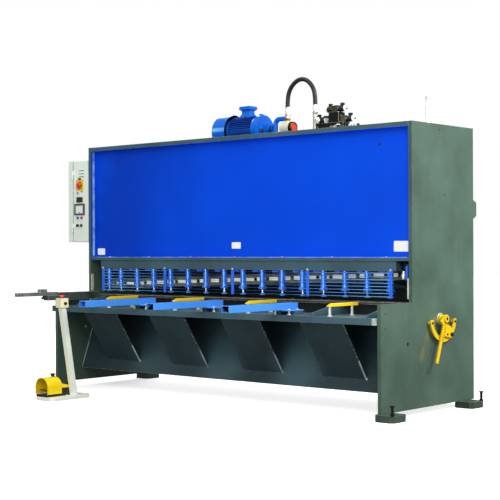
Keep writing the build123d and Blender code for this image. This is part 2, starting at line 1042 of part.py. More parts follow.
def motor_body():
    """Finned motor body with two feet on the tank."""
    y, z = motor_axis()
    start = fan_cover_start + fan_cover_length
    body = rod((start, y, z), (1, 0, 0), motor_body_radius, motor_body_length)
    fin_length = motor_body_length - 2 * motor_end_length
    fin_radius = motor_body_radius + motor_fin_height
    for index in range(motor_fin_count):
        angle = 360 * (index + 0.5) / motor_fin_count
        align = (Align.MIN, Align.CENTER, Align.MIN)
        fin = Box(fin_length, motor_fin_thickness, fin_radius, align=align)
        body += Pos(start + motor_end_length, y, z) * Rot(angle, 0, 0) * fin
    foot_span = (start + motor_foot_inset, start + motor_body_length - motor_foot_inset)
    for side in (-1, 1):
        y_foot = y + side * motor_foot_spread
        wide = (y_foot - motor_foot_width / 2, y_foot + motor_foot_width / 2)
        narrow = (y_foot - motor_foot_web / 2, y_foot + motor_foot_web / 2)
        body += block(foot_span, wide, (tank_top, tank_top + motor_foot_height))
        body += block(foot_span, narrow, (tank_top, z - motor_foot_joint))
    return body + motor_terminal_box()


def motor_fan_cover():
    """Round fan cover at the left end of the motor."""
    y, z = motor_axis()
    cover = rod((fan_cover_start, y, z), (1, 0, 0), fan_cover_radius, fan_cover_length)
    return chamfer(cover.edges().group_by(Axis.X)[0], fan_cover_chamfer)


def motor_terminal_box():
    """Terminal box with a wide lid, on a neck that flares down to the motor."""
    y, z = motor_axis()
    x = fan_cover_start + fan_cover_length + terminal_box_inset
    seat = z + motor_body_radius
    lid = seat + motor_fin_height + terminal_neck_height
    neck = [
        (x - terminal_box_width / 2, seat - motor_fin_height),
        (x + terminal_box_width / 2, seat - motor_fin_height),
        (x + terminal_neck_width / 2, seat + motor_fin_height),
        (x + terminal_neck_width / 2, lid),
        (x - terminal_neck_width / 2, lid),
        (x - terminal_neck_width / 2, seat + motor_fin_height),
    ]
    box = slab_y(neck, y - terminal_neck_width / 2, terminal_neck_width)
    return box + block(
        (x - terminal_box_width / 2, x + terminal_box_width / 2),
        (y - terminal_box_depth / 2, y + terminal_box_depth / 2),
        (lid, lid + terminal_box_height),
    )


def pump_unit():
    """End shield, coupling housing and gear pump in line with the motor."""
    y, z = motor_axis()
    start = fan_cover_start + fan_cover_length + motor_body_length
    flange = rod((start, y, z), (1, 0, 0), motor_flange_radius, motor_flange_thickness)
    bell = rod((start, y, z), (1, 0, 0), bell_radius, bell_length)
    return flange + bell + rod((start, y, z), (1, 0, 0), pump_radius, bell_length + pump_length)


def oil_filter():
    """Level filter canister on a saddle, with a boss for the hose."""
    y, z = motor_axis()
    canister = rod((filter_x, y, z), (1, 0, 0), filter_radius, filter_length)
    middle = filter_x + filter_length / 2
    canister += block(
        (middle - filter_saddle_width / 2, middle + filter_saddle_width / 2),
        (y - filter_saddle_depth / 2, y + filter_saddle_depth / 2),
        (tank_top, z - filter_radius / 2),
    )
    return canister + rod((hose_left_x, y, z), (0, 0, 1), filter_boss_radius, filter_radius + filter_boss)


def tank_fittings():
    """End fittings of the return hose and the upright pipe on the tank."""
    y, z = motor_axis()
    seat = z + filter_radius + filter_boss
    top = z + hose_fitting_rise
    left = rod((hose_left_x, y, seat), (0, 0, 1), fitting_radius, top - seat)
    right = rod((hose_right_x, y, tank_top), (0, 0, 1), fitting_radius, top - tank_top)
    pipe = rod((upright_pipe_x, y, tank_top), (0, 0, 1), upright_pipe_radius, upright_pipe_height)
    return together([left, right, pipe])


def hose_route():
    """Points of the return hose, from the left fitting to the right one."""
    half = (hose_right_x - hose_left_x) / 2
    middle = (hose_right_x + hose_left_x) / 2
    rises = [(-1.0, 0), (-1.0, 0.33), (-0.83, 0.67), (-0.42, 0.92), (0.02, 1.0),
             (0.45, 0.92), (0.85, 0.65), (1.0, 0.32), (1.0, 0)]
    y, z = motor_axis()
    start = z + hose_fitting_rise
    return [(middle + share * half, y, start + rise * hose_arch_rise) for share, rise in rises]


def hose_radii(points):
    """Bend radius at each inner point, from the shorter run beside it."""
    radii = []
    for before, here, after in zip(points, points[1:], points[2:]):
        first = Vector(*here) - Vector(*before)
        second = Vector(*after) - Vector(*here)
        shorter = min(first.length, second.length)
        radii.append(0.45 * shorter / tan(radians(first.get_angle(second)) / 2))
    return radii


def hydraulic_hose():
    """Return hose that arches over from the filter to the tank."""
    points = hose_route()
    radii = hose_radii(points)
    print("hose bend radii", [round(radius) for radius in radii])
    path = FilletPolyline(*points, radius=radii)
    section = Plane(origin=path @ 0, z_dir=path % 0) * Circle(hose_diameter / 2)
    tube = sweep(section, path=path)
    print("hose volume ratio", tube.volume / (section.area * path.length))
    return tube


def suction_pipe():
    """Bent pipe from the tank to the left hose fitting, over the filter."""
    y, z = motor_axis()
    height = z + suction_pipe_rise
    path = FilletPolyline(
        (suction_pipe_x, y, tank_top),
        (suction_pipe_x, y, height),
        (hose_left_x, y, height),
        radius=suction_bend_radius,
    )
    section = Plane(origin=path @ 0, z_dir=path % 0) * Circle(suction_pipe_radius)
    seat = rod((hose_left_x, y, tank_top), (0, 0, 1), fitting_radius, z + hose_fitting_rise - tank_top)
    return sweep(section, path=path) - seat


def valve_block():
    """Manifold block on the tank with a raised column and an outlet pipe."""
    y = motor_axis()[0]
    reach = manifold_depth / 2
    end = manifold_x + manifold_length
    lower = block((manifold_x, end), (y - reach, y + reach), (tank_top, tank_top + manifold_height))
    reach = manifold_column_depth / 2
    column = (manifold_column_x, manifold_column_x + manifold_column_width)
    lower += block(column, (y - reach, y + reach), (tank_top, tank_top + manifold_column_height))
    port = (end, y, tank_top + port_pipe_rise)
    lower += rod(port, (1, 0, 0), port_pipe_radius, port_pipe_length)
    return lower + rod(port, (1, 0, 0), port_nut_radius, port_nut_length)


def solenoid_valve(place, directions):
    """Square valve body with a round coil and end nut in each direction."""
    x, y, z = place
    half = valve_width / 2
    valve = block((x - half, x + half), (y - half, y + half), (z, z + valve_height))
    for direction in directions:
        start = Vector(x, y, z + valve_height / 2) + Vector(*direction) * half
        valve += rod(start, direction, coil_radius, coil_length)
        valve += rod(start, direction, coil_nut_radius, coil_length + coil_nut_length)
    return valve


def relief_valve(place):
    """Upright adjusting valve with a knob."""
    valve = rod(place, (0, 0, 1), relief_valve_radius, relief_valve_height)
    knob = Vector(*place) + Vector(0, 0, relief_valve_height - relief_knob_height)
    return valve + rod(knob, (0, 0, 1), relief_knob_radius, relief_knob_height)


def solenoid_valves():
    """Three solenoid valves and a relief valve on the manifold."""
    y = motor_axis()[0]
    low = tank_top + manifold_height
    high = tank_top + manifold_column_height
    end = manifold_x + manifold_length
    front = y - manifold_depth / 2 + relief_knob_radius
    left = solenoid_valve((manifold_x + valve_width / 2, y, low), [(0, -1, 0), (0, 1, 0)])
    right = solenoid_valve((end - valve_width / 2, y, low), [(1, 0, 0)])
    upper = solenoid_valve((manifold_column_x + manifold_column_width / 2, y, high), [(1, 0, 0), (-1, 0, 0)])
    return together([left, right, upper, relief_valve((relief_valve_x, front, low))])


# Electrical cabinet


def cabinet_left():
    """Left side of the cabinet."""
    return -outer_x - cabinet_width


def hinge_axis():
    """Vertical hinge line of the cabinet door, as X and Y."""
    return cabinet_left() + cabinet_strip_width + door_side_gap / 2, cover_plane - hinge_offset


def control_cabinet():
    """Open fronted box with a fixed front strip and two hinge pins."""
    left = cabinet_left()
    right = -outer_x
    front = cover_plane + cabinet_frame_depth
    back = front + cabinet_depth
    top = cabinet_bottom + cabinet_height
    box = block((left, right), (front, back), (cabinet_bottom, top))
    box -= block(
        (left + cabinet_wall, right - cabinet_wall),
        (front - 1, back - cabinet_wall),
        (cabinet_bottom + cabinet_wall, top - cabinet_wall),
    )
    box += block((left, left + cabinet_strip_width), (cover_plane, front), (cabinet_bottom, top))
    x, y = hinge_axis()
    for z in hinge_heights():
        low = z - hinge_knuckle_length
        box += rod((x, y, low), (0, 0, 1), hinge_knuckle_radius, hinge_knuckle_length - hinge_end_gap)
        box += block((x - hinge_leaf, x), (y, y + hinge_leaf_thickness), (low, z - hinge_end_gap))
        strip_edge = left + cabinet_strip_width
        box += block((x - hinge_leaf, strip_edge), (y, cover_plane), (low, z - hinge_end_gap))
        box += rod((x, y, low), (0, 0, 1), hinge_pin_radius, 2 * hinge_knuckle_length)
    return box


def hinge_heights():
    """Heights at which the two door hinges split."""
    return cabinet_bottom + 130, cabinet_bottom + cabinet_height - 130


def cabinet_door():
    """Door leaf with the moving half of both hinges."""
    x, y = hinge_axis()
    left = cabinet_left() + cabinet_strip_width + door_side_gap
    right = -outer_x - door_side_gap
    door = block(
        (left, right),
        (cover_plane, cover_plane + door_thickness),
        (cabinet_bottom + door_end_gap, cabinet_bottom + cabinet_height - door_end_gap),
    )
    for z in hinge_heights():
        high = z + hinge_knuckle_length
        knuckle = rod((x, y, z), (0, 0, 1), hinge_knuckle_radius, hinge_knuckle_length)
        knuckle += block((x, left + hinge_leaf), (y, y + hinge_leaf_thickness), (z, high))
        knuckle += block((left, left + hinge_leaf), (y, cover_plane), (z, high))
        knuckle -= rod((x, y, z - 1), (0, 0, 1), hinge_pin_radius + hinge_clearance, hinge_knuckle_length + 2)
        door += knuckle
    start = (main_switch_x, cover_plane, main_switch_height)
    return door - rod(start, (0, 1, 0), switch_stem_radius + switch_clearance, door_thickness)


def on_door(drop, width, height, depth):
    """Plate on the front of the door, centred below the main switch."""
    x = main_switch_x
    z = main_switch_height - drop
    return block(
        (x - width / 2, x + width / 2),
        (cover_plane - depth, cover_plane),
        (z - height / 2, z + height / 2),
    )


def door_fittings():
    """Switch plate, counter, display, two buttons and two selectors."""
    plate = on_door(0, plate_size, plate_size, switch_plate_thickness)
    bore = switch_stem_radius + switch_clearance
    start = (main_switch_x, cover_plane, main_switch_height)
    plate -= rod(start, (0, -1, 0), bore, switch_plate_thickness)
    counter = on_door(counter_drop, counter_width, counter_height, counter_depth)
    display = on_door(display_drop, display_width, display_height, display_depth)
    inner_width = display_width - 2 * display_border
    inner_height = display_height - 2 * display_border
    recess = on_door(display_drop, inner_width, inner_height, display_recess)
    display -= Pos(0, display_recess - display_depth, 0) * recess
    fittings = [plate, counter, display]
    for drop, depth in ((button_drop, small_button_depth), (selector_drop, selector_depth)):
        for side in (-1, 1):
            x = main_switch_x + side * button_spread
            start = (x, cover_plane, main_switch_height - drop)
            fittings.append(rod(start, (0, -1, 0), small_button_radius, depth))
    return together(fittings)


def main_switch():
    """Rotary switch with a grip bar and a stem through the door."""
    x, z = main_switch_x, main_switch_height
    face = cover_plane - switch_plate_thickness - switch_clearance
    front = face - switch_disc_depth
    stem_end = cover_plane + door_thickness + switch_stem_inside
    switch = rod((x, front, z), (0, 1, 0), switch_disc_radius, switch_disc_depth)
    switch += rod((x, front, z), (0, 1, 0), switch_stem_radius, stem_end - front)
    half = switch_grip_length / 2
    reach = switch_grip_width / 2
    return switch + block((x - reach, x + reach), (front - switch_grip_depth, front), (z - half, z + half))


# Gap lever


def lever_point(angle, radius):
    """Point on the lever's plane at an angle from the rear, as Y and Z."""
    y = cover_plane + lever_setback + radius * cos(radians(angle))
    return y, lever_height + radius * sin(radians(angle))


def gap_quadrant():
    """Half ring scale on three stand offs, around the lever's shaft."""
    x = outer_x + quadrant_standoff
    y, z = lever_point(0, 0)
    ring = rod((x, y, z), (1, 0, 0), quadrant_outer, quadrant_thickness)
    ring -= rod((x - 1, y, z), (1, 0, 0), quadrant_inner, quadrant_thickness + 2)
    ring -= block((x - 1, x + quadrant_thickness + 1), (y - 200, y + 200), (z - 5, z + 200))
    middle = (quadrant_outer + quadrant_inner) / 2
    for angle in (190, 270, 350):
        y_post, z_post = lever_point(angle, middle)
        ring += rod((outer_x, y_post, z_post), (1, 0, 0), 12, quadrant_standoff)
    return ring


def gap_lever():
    """Cranked lever with a side lug over the quadrant and a round handle."""
    y, z = lever_point(0, 0)
    inner = inner_x - 20
    hub_start = outer_x + 5
    hub_end = outer_x + quadrant_standoff + quadrant_thickness + 5 + lever_thickness
    lever = rod((inner, y, z), (1, 0, 0), lever_shaft_radius, hub_end - inner + 12)
    lever += rod((hub_start, y, z), (1, 0, 0), lever_hub_radius, hub_end - hub_start)
    angle = lever_rest_degrees
    outline = [lever_point(angle + turn, radius) for radius, turn in lever_tail + lever_crank + lever_lug]
    lever += slab_x(outline, hub_end - lever_thickness, lever_thickness)
    y_handle, z_handle = lever_point(angle, lever_length - handle_length)
    direction = (0, cos(radians(angle)), sin(radians(angle)))
    lever += rod((hub_end - lever_thickness / 2, y_handle, z_handle), direction, handle_radius,
                 handle_length)
    return lever


# Foot switch stand


def switch_stand():
    """Flat base with cut corners and a column that leans to the operator."""
    front = cover_plane + stand_front
    base = block(
        (stand_x - stand_width / 2, stand_x + stand_width / 2),
        (front, front + stand_length),
        (0, stand_plate_height),
    )
    base = chamfer(base.edges().filter_by(Axis.Z), stand_corner)
    y = cover_plane + column_foot_setback
    half = column_size / 2
    outline = [
        (y - half, stand_plate_height),
        (y + half, stand_plate_height),
        (y + half - column_lean, column_top),
        (y - half - column_lean, column_top),
    ]
    return base + slab_x(outline, column_x - half, column_size)


def stop_box():
    """Box on the column with a recess for the button's stem."""
    y = cover_plane + column_foot_setback - column_lean
    half = stop_box_size / 2
    box = block((column_x - half, column_x + half), (y - half, y + half),
                (column_top, column_top + stop_box_size))
    box = fillet(box.edges().filter_by(Axis.Z), 8)
    top = column_top + stop_box_size
    return box - rod((column_x, y, top - 24), (0, 0, 1), button_stem_radius + 0.5, 25)


def stop_button():
    """Mushroom head on its stem."""
    y = cover_plane + column_foot_setback - column_lean
    top = column_top + stop_box_size
    profile = [
        (0, top - 16),
        (button_stem_radius, top - 16),
        (button_stem_radius, top + 9),
        (button_radius, top + 9),
        (button_radius, top + 18),
        (button_radius - 6, top + 25),
        (0, top + 27),
    ]
    return turned(profile, (column_x, y, 0))


def pedal_x():
    """Centre of the pedal on the stand."""
    return stand_x - 32


def pedal_front():
    """Front end of the pedal."""
    return cover_plane + stand_front + pedal_inset


def pedal_base():
    """Black pedal body with a raised rear and two ears for the foot plate."""
    front = pedal_front()
    x = pedal_x()
    y, z = treadle_axis()
    floor = stand_plate_height + pedal_base_height
    outline = [
        (front, stand_plate_height),
        (front + pedal_base_length, stand_plate_height),
        (front + pedal_base_length, pedal_tail_height),
        (front + pedal_hood_length, pedal_tail_height),
        (front + pedal_hood_length, floor),
        (front, floor),
    ]
    base = slab_x(outline, x - pedal_base_width / 2, pedal_base_width)
    bore = treadle_pin_radius + hinge_clearance
    for side in (-1, 1):
        inner = x + side * (treadle_width / 2 + treadle_side_gap)
        outer = inner + side * treadle_ear
        ear = block((min(inner, outer), max(inner, outer)), (y - 9, y + 9), (floor, z + 9))
        base += ear - rod((min(inner, outer), y, z), (1, 0, 0), bore, treadle_ear)
    return base


def pedal_hood():
    """Arched yellow hood, open to the operator, with a sloping tail."""
    front = pedal_front()
    x = pedal_x()
    floor = stand_plate_height + pedal_base_height
    centre = pedal_hood_top - pedal_hood_radius
    layers = []
    for wall, length in ((0, pedal_hood_length), (pedal_hood_wall, pedal_hood_length - pedal_hood_wall)):
        radius = pedal_hood_radius - wall
        arch = rod((x, front, centre), (0, 1, 0), radius, length)
        arch += block((x - radius, x + radius), (front, front + length), (floor, centre))
        below = block((x - radius, x + radius), (front, front + length), (centre - 2 * radius, floor))
        layers.append(arch - below)
    rear = front + pedal_hood_length
    tail = [
        (rear, pedal_tail_height),
        (front + pedal_base_length, pedal_tail_height),
        (front + pedal_base_length, pedal_tail_height + 10),
        (rear, pedal_tail_height + 38),
    ]
    hood = layers[0] - layers[1]
    return hood + slab_x(tail, x - pedal_base_width / 2, pedal_base_width)


def pedal_treadle():
    """Foot plate under the hood, on a pin between the ears."""
    y, z = treadle_axis()
    x = pedal_x()
    outline = [
        (y - treadle_length, z + treadle_rise),
        (y, z - 4),
        (y, z + 4),
        (y - treadle_length, z + treadle_rise + 8),
    ]
    plate = slab_x(outline, x - treadle_width / 2, treadle_width)
    plate += rod((x - treadle_width / 2, y, z), (1, 0, 0), 7, treadle_width)
    half = treadle_width / 2 + treadle_side_gap + treadle_ear
    return plate + rod((x - half, y, z), (1, 0, 0), treadle_pin_radius, 2 * half)


def treadle_axis():
    """Hinge line of the foot plate, as Y and Z."""
    floor = stand_plate_height + pedal_base_height
    return pedal_front() + pedal_hood_length - 25, floor + 16


nodes = {
    "side_frame_left": side_frame(-1),
    "side_frame_right": side_frame(1),
    "floor_feet": floor_feet(),
    "levelling_screws": levelling_screws(),
    "pivot_pins": pivot_pins(),
    "rear_brackets": rear_brackets(),
    "rear_cross_tube": rear_cross_tube(),
    "throat_strips": throat_strips(),
    "table_top": table_top(),
    "table_bed": table_bed(),
    "lower_blade": lower_blade(),
    "table_front_beam": table_front_beam(),
    "chute_wall": chute_wall(),
    "apron_plates": apron_plates(),
    "table_gussets": table_gussets(),
    "support_rails": support_rails(),
    "support_posts": support_posts(),
    "support_arms": support_arms(),
    "arm_brackets": arm_brackets(),
    "squaring_arm": squaring_arm(),
    "squaring_scale_bar": squaring_scale_bar(),
    "top_rail": top_rail(),
    "front_cover": front_cover(),
    "tie_plate": tie_plate(),
    "clamp_beam": clamp_beam(),
    "hold_down_cylinders": hold_down_cylinders(),
    "hold_down_feet": hold_down_feet(),
    "finger_guard": finger_guard(),
    "beam_front_plate": beam_front_plate(),
    "beam_tube": beam_tube(),
    "beam_ribs": beam_ribs(),
    "beam_top_web": beam_top_web(),
    "upper_blade": upper_blade(),
    "main_cylinders": main_cylinders(),
    "cylinder_rods": cylinder_rods(),
    "oil_tank": oil_tank(),
    "motor_body": motor_body(),
    "motor_fan_cover": motor_fan_cover(),
    "pump_unit": pump_unit(),
    "oil_filter": oil_filter(),
    "tank_fittings": tank_fittings(),
    "hydraulic_hose": hydraulic_hose(),
    "suction_pipe": suction_pipe(),
    "valve_block": valve_block(),
    "solenoid_valves": solenoid_valves(),
    "control_cabinet": control_cabinet(),
    "cabinet_door": cabinet_door(),
    "door_fittings": door_fittings(),
    "main_switch": main_switch(),
    "gap_quadrant": gap_quadrant(),
    "gap_lever": gap_lever(),
    "switch_stand": switch_stand(),
    "stop_box": stop_box(),
    "stop_button": stop_button(),
    "pedal_base": pedal_base(),
    "pedal_hood": pedal_hood(),
    "pedal_treadle": pedal_treadle(),
}

os.makedirs("parts", exist_ok=True)
for name, shape in nodes.items():
    export_step(shape, f"parts/{name}.step")
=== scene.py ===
"""Looks of a hydraulic plate shear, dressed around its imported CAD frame."""

import json
import logging
import math
from dataclasses import dataclass
from enum import Enum
from typing import Iterable, Protocol, Sequence

import bmesh
import bpy
from mathutils import Matrix, Vector

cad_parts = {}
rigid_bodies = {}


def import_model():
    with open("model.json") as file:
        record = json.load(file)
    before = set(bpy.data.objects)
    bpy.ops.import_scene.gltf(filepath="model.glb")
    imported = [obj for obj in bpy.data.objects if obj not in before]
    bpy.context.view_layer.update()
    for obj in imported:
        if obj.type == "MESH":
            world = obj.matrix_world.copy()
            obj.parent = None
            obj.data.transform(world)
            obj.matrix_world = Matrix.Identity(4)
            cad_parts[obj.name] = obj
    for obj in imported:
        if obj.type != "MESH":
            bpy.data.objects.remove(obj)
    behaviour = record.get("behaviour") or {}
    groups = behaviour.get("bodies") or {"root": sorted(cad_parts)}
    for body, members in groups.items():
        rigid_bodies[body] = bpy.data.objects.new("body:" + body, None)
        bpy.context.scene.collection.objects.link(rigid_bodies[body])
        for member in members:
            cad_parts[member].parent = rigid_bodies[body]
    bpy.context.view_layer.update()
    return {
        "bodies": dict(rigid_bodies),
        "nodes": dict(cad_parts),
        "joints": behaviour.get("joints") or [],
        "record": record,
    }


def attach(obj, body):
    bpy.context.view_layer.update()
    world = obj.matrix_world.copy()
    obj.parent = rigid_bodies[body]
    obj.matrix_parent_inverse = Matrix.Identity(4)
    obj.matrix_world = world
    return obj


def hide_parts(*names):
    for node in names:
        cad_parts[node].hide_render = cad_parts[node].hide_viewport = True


log = logging.getLogger("plate_shear")

Point = tuple[float, float, float]
Outline = Sequence[tuple[float, float]]

COVER = -0.19
TABLE = 0.82
MACHINE = "machine"


def linear(code: str) -> tuple[float, float, float, float]:
    """Gives the linear colour of a hexadecimal code.

    Args:
        code: Six hexadecimal digits, red first.

    Returns:
        Red, green, blue and an alpha of one.
    """
    shares = [int(code[i : i + 2], 16) / 255 for i in (0, 2, 4)]
    red, green, blue = (s / 12.92 if s < 0.04045 else ((s + 0.055) / 1.055) ** 2.4 for s in shares)
    return red, green, blue, 1.0


# Finishes


class MaterialBench:
    """Wires the nodes of one material around its shader."""

    def __init__(self, name: str, roughness: float, metallic: float = 0.0) -> None:
        """Starts the material.

        Args:
            name: Name of the material.
            roughness: Roughness where nothing varies it.
            metallic: One for bare metal.
        """
        self.material = bpy.data.materials.new(name)
        self.material.use_nodes = True
        self.tree = self.material.node_tree
        self.tree.nodes.clear()
        self.shader = self.add("ShaderNodeBsdfPrincipled")
        self.shader.inputs["Roughness"].default_value = roughness
        self.shader.inputs["Metallic"].default_value = metallic
        output = self.add("ShaderNodeOutputMaterial")
        self.tree.links.new(self.shader.outputs["BSDF"], output.inputs["Surface"])
        self.coordinates = self.add("ShaderNodeTexCoord").outputs["Object"]
        self.relief_end: bpy.types.NodeSocket | None = None

    def add(self, kind: str) -> bpy.types.Node:
        """Adds a node of a kind and returns it."""
        return self.tree.nodes.new(kind)

    def noise(self, scale: float, detail: float = 3.0, stretch: Point = (1, 1, 1)) -> bpy.types.NodeSocket:
        """Adds a noise over the object's own space.

        Args:
            scale: Cells per metre.
            detail: Octaves.
            stretch: Factor on each axis.

        Returns:
            The noise value, about 0.3 to 0.7.
        """
        place = self.add("ShaderNodeMapping")
        place.inputs["Scale"].default_value = stretch
        self.tree.links.new(self.coordinates, place.inputs["Vector"])
        cloud = self.add("ShaderNodeTexNoise")
        cloud.inputs["Scale"].default_value = scale
        cloud.inputs["Detail"].default_value = detail
        self.tree.links.new(place.outputs["Vector"], cloud.inputs["Vector"])
        return cloud.outputs["Fac"]

    def spread(self, value: bpy.types.NodeSocket, low: float, high: float, start: float = 0.0,
               end: float = 1.0) -> bpy.types.NodeSocket:
        """Maps the span low to high of a value to the span start to end, clamped."""
        node = self.add("ShaderNodeMapRange")
        for name, number in (("From Min", low), ("From Max", high), ("To Min", start), ("To Max", end)):
            node.inputs[name].default_value = number
        self.tree.links.new(value, node.inputs["Value"])
        return node.outputs["Result"]

    def times(self, first: bpy.types.NodeSocket, second: bpy.types.NodeSocket) -> bpy.types.NodeSocket:
        """Multiplies two values."""
        node = self.add("ShaderNodeMath")
        node.operation = "MULTIPLY"
        self.tree.links.new(first, node.inputs[0])
        self.tree.links.new(second, node.inputs[1])
        return node.outputs["Value"]

    def mixed(self, share: bpy.types.NodeSocket, first: "bpy.types.NodeSocket | str",
              second: "bpy.types.NodeSocket | str") -> bpy.types.NodeSocket:
        """Mixes two colours.

        Args:
            share: How much of the second colour shows.
            first: A colour socket or a hexadecimal code.
            second: A colour socket or a hexadecimal code.

        Returns:
            The mixed colour.
        """
        node = self.add("ShaderNodeMix")
        node.data_type = "RGBA"
        self.tree.links.new(share, node.inputs["Factor"])
        for name, colour in ((6, first), (7, second)):
            if isinstance(colour, str):
                node.inputs[name].default_value = linear(colour)
            else:
                self.tree.links.new(colour, node.inputs[name])
        return node.outputs[2]

    def worn_edges(self) -> bpy.types.NodeSocket:
        """Reads how worn a face is, one on broken edges."""
        node = self.add("ShaderNodeAttribute")
        node.attribute_name = "worn"
        return node.outputs["Fac"]

    def upward(self) -> bpy.types.NodeSocket:
        """Reads how far a face looks up, from minus one to one."""
        shape = self.add("ShaderNodeNewGeometry")
        split = self.add("ShaderNodeSeparateXYZ")
        self.tree.links.new(shape.outputs["Normal"], split.inputs["Vector"])
        return split.outputs["Z"]

    def height(self) -> bpy.types.NodeSocket:
        """Reads the height over the floor."""
        split = self.add("ShaderNodeSeparateXYZ")
        self.tree.links.new(self.coordinates, split.inputs["Vector"])
        return split.outputs["Z"]

    def vector_math(self, operation: str, first: "bpy.types.NodeSocket | Point",
                    second: "bpy.types.NodeSocket | Point") -> bpy.types.Node:
        """Adds a vector operation on two sockets or constants."""
        node = self.add("ShaderNodeVectorMath")
        node.operation = operation
        for index, value in enumerate((first, second)):
            if isinstance(value, tuple):
                node.inputs[index].default_value = value
            else:
                self.tree.links.new(value, node.inputs[index])
        return node

    def stroked(self, base: bpy.types.NodeSocket, stroke: "Stroke") -> bpy.types.NodeSocket:
        """Lays one broken stroke over a colour.

        Args:
            base: The colour below.
            stroke: Where the stroke runs and what it shows.

        Returns:
            The colour with the stroke.
        """
        run = Vector(stroke.end) - Vector(stroke.start)
        along = tuple(run / run.length_squared)
        offset = self.vector_math("SUBTRACT", self.coordinates, stroke.start).outputs["Vector"]
        share = self.spread(self.vector_math("DOT_PRODUCT", offset, along).outputs["Value"], 0.0, 1.0)
        nearest = self.add("ShaderNodeVectorMath")
        nearest.operation = "SCALE"
        nearest.inputs[0].default_value = tuple(run)
        self.tree.links.new(share, nearest.inputs["Scale"])
        distance = self.vector_math("DISTANCE", offset, nearest.outputs["Vector"]).outputs["Value"]
        band = self.spread(distance, stroke.width, 0.35 * stroke.width, 0.0, stroke.strength)
        broken = self.spread(self.noise(stroke.grain, 5.0), 0.35, 0.55, 0.35, 1.0)
        return self.mixed(self.times(band, broken), base, stroke.colour)

    def relief(self, value: bpy.types.NodeSocket, depth: float, strength: float = 1.0) -> None:
        """Adds a bump of a depth in metres on top of those before it."""
        node = self.add("ShaderNodeBump")
        node.inputs["Distance"].default_value = depth
        node.inputs["Strength"].default_value = strength
        self.tree.links.new(value, node.inputs["Height"])
        if self.relief_end is not None:
            self.tree.links.new(self.relief_end, node.inputs["Normal"])
        self.relief_end = node.outputs["Normal"]

    def finish(self, colour: "bpy.types.NodeSocket | str",
               roughness: bpy.types.NodeSocket | None = None) -> bpy.types.Material:
        """Joins colour, roughness and relief to the shader.

        Args:
            colour: A colour socket or a hexadecimal code.
            roughness: A roughness that varies over the surface.

        Returns:
            The finished material.
        """
        if isinstance(colour, str):
            self.shader.inputs["Base Color"].default_value = linear(colour)
        else:
            self.tree.links.new(colour, self.shader.inputs["Base Color"])
        if roughness is not None:
            self.tree.links.new(roughness, self.shader.inputs["Roughness"])
        if self.relief_end is not None:
            self.tree.links.new(self.relief_end, self.shader.inputs["Normal"])
        return self.material


class Finish(Protocol):
    """Anything that can make a material."""

    name: str

    def make(self) -> bpy.types.Material:
        """Makes the material."""


@dataclass(frozen=True)
class Stroke:
    """A straight mark on a surface: a rub or a smear, a painted highlight or painted shade."""

    start: Point
    end: Point
    width: float
    colour: str
    strength: float = 0.6
    grain: float = 45.0


@dataclass(frozen=True)
class Enamel:
    """Sprayed enamel with orange peel, grime, dust on top and worn edges, with strokes of smears, painted highlights
    and painted shade.
    """

    name: str
    colour: str
    deep: str
    roughness: float = 0.4
    grime: float = 0.5
    dust: float = 0.15
    wear: float = 0.5
    bright: str = "9aa09c"
    peel: float = 0.00012
    coat: float = 0.0
    shine: float = 0.3
    metal: float = 0.0
    strokes: tuple[Stroke, ...] = ()

    def make(self) -> bpy.types.Material:
        """Makes the material."""
        bench = MaterialBench(self.name, self.roughness, self.metal)
        bench.shader.inputs["Specular IOR Level"].default_value = self.shine
        bench.shader.inputs["Coat Weight"].default_value = self.coat
        bench.shader.inputs["Coat Roughness"].default_value = 0.12
        clouds = bench.spread(bench.noise(1.7, 5.0), 0.36, 0.66, 0.0, self.grime)
        base = bench.mixed(clouds, self.colour, self.deep)
        specks = bench.spread(bench.noise(95.0, 4.0), 0.62, 0.78, 0.0, 0.35)
        base = bench.mixed(specks, base, self.deep)
        streaks = bench.spread(bench.noise(2.2, 6.0, (9, 9, 0.7)), 0.55, 0.8, 0.0, 0.4 * self.grime)
        base = bench.mixed(streaks, base, self.deep)
        top = bench.spread(bench.upward(), 0.6, 1.0, 0.0, self.dust)
        patch = bench.spread(bench.noise(12.0, 5.0), 0.35, 0.65)
        base = bench.mixed(bench.times(top, patch), base, "b9b5a4")
        chips = bench.spread(bench.noise(60.0, 4.0), 0.46, 0.6, 0.0, self.wear)
        base = bench.mixed(bench.times(bench.worn_edges(), chips), base, self.bright)
        scratches = bench.spread(bench.noise(14.0, 2.0, (1, 1, 26)), 0.7, 0.76, 0.0, 0.16)
        base = bench.mixed(scratches, base, self.bright)
        # Strokes lay smears, painted highlights and painted shade over the colour.
        for stroke in self.strokes:
            base = bench.stroked(base, stroke)
        rough = bench.spread(bench.noise(6.0, 5.0), 0.3, 0.7, self.roughness - 0.07, self.roughness + 0.12)
        bench.relief(bench.noise(420.0, 2.0), self.peel, 0.5)
        bench.relief(bench.noise(5.0, 2.0), 0.0012, 0.25)
        return bench.finish(base, rough)


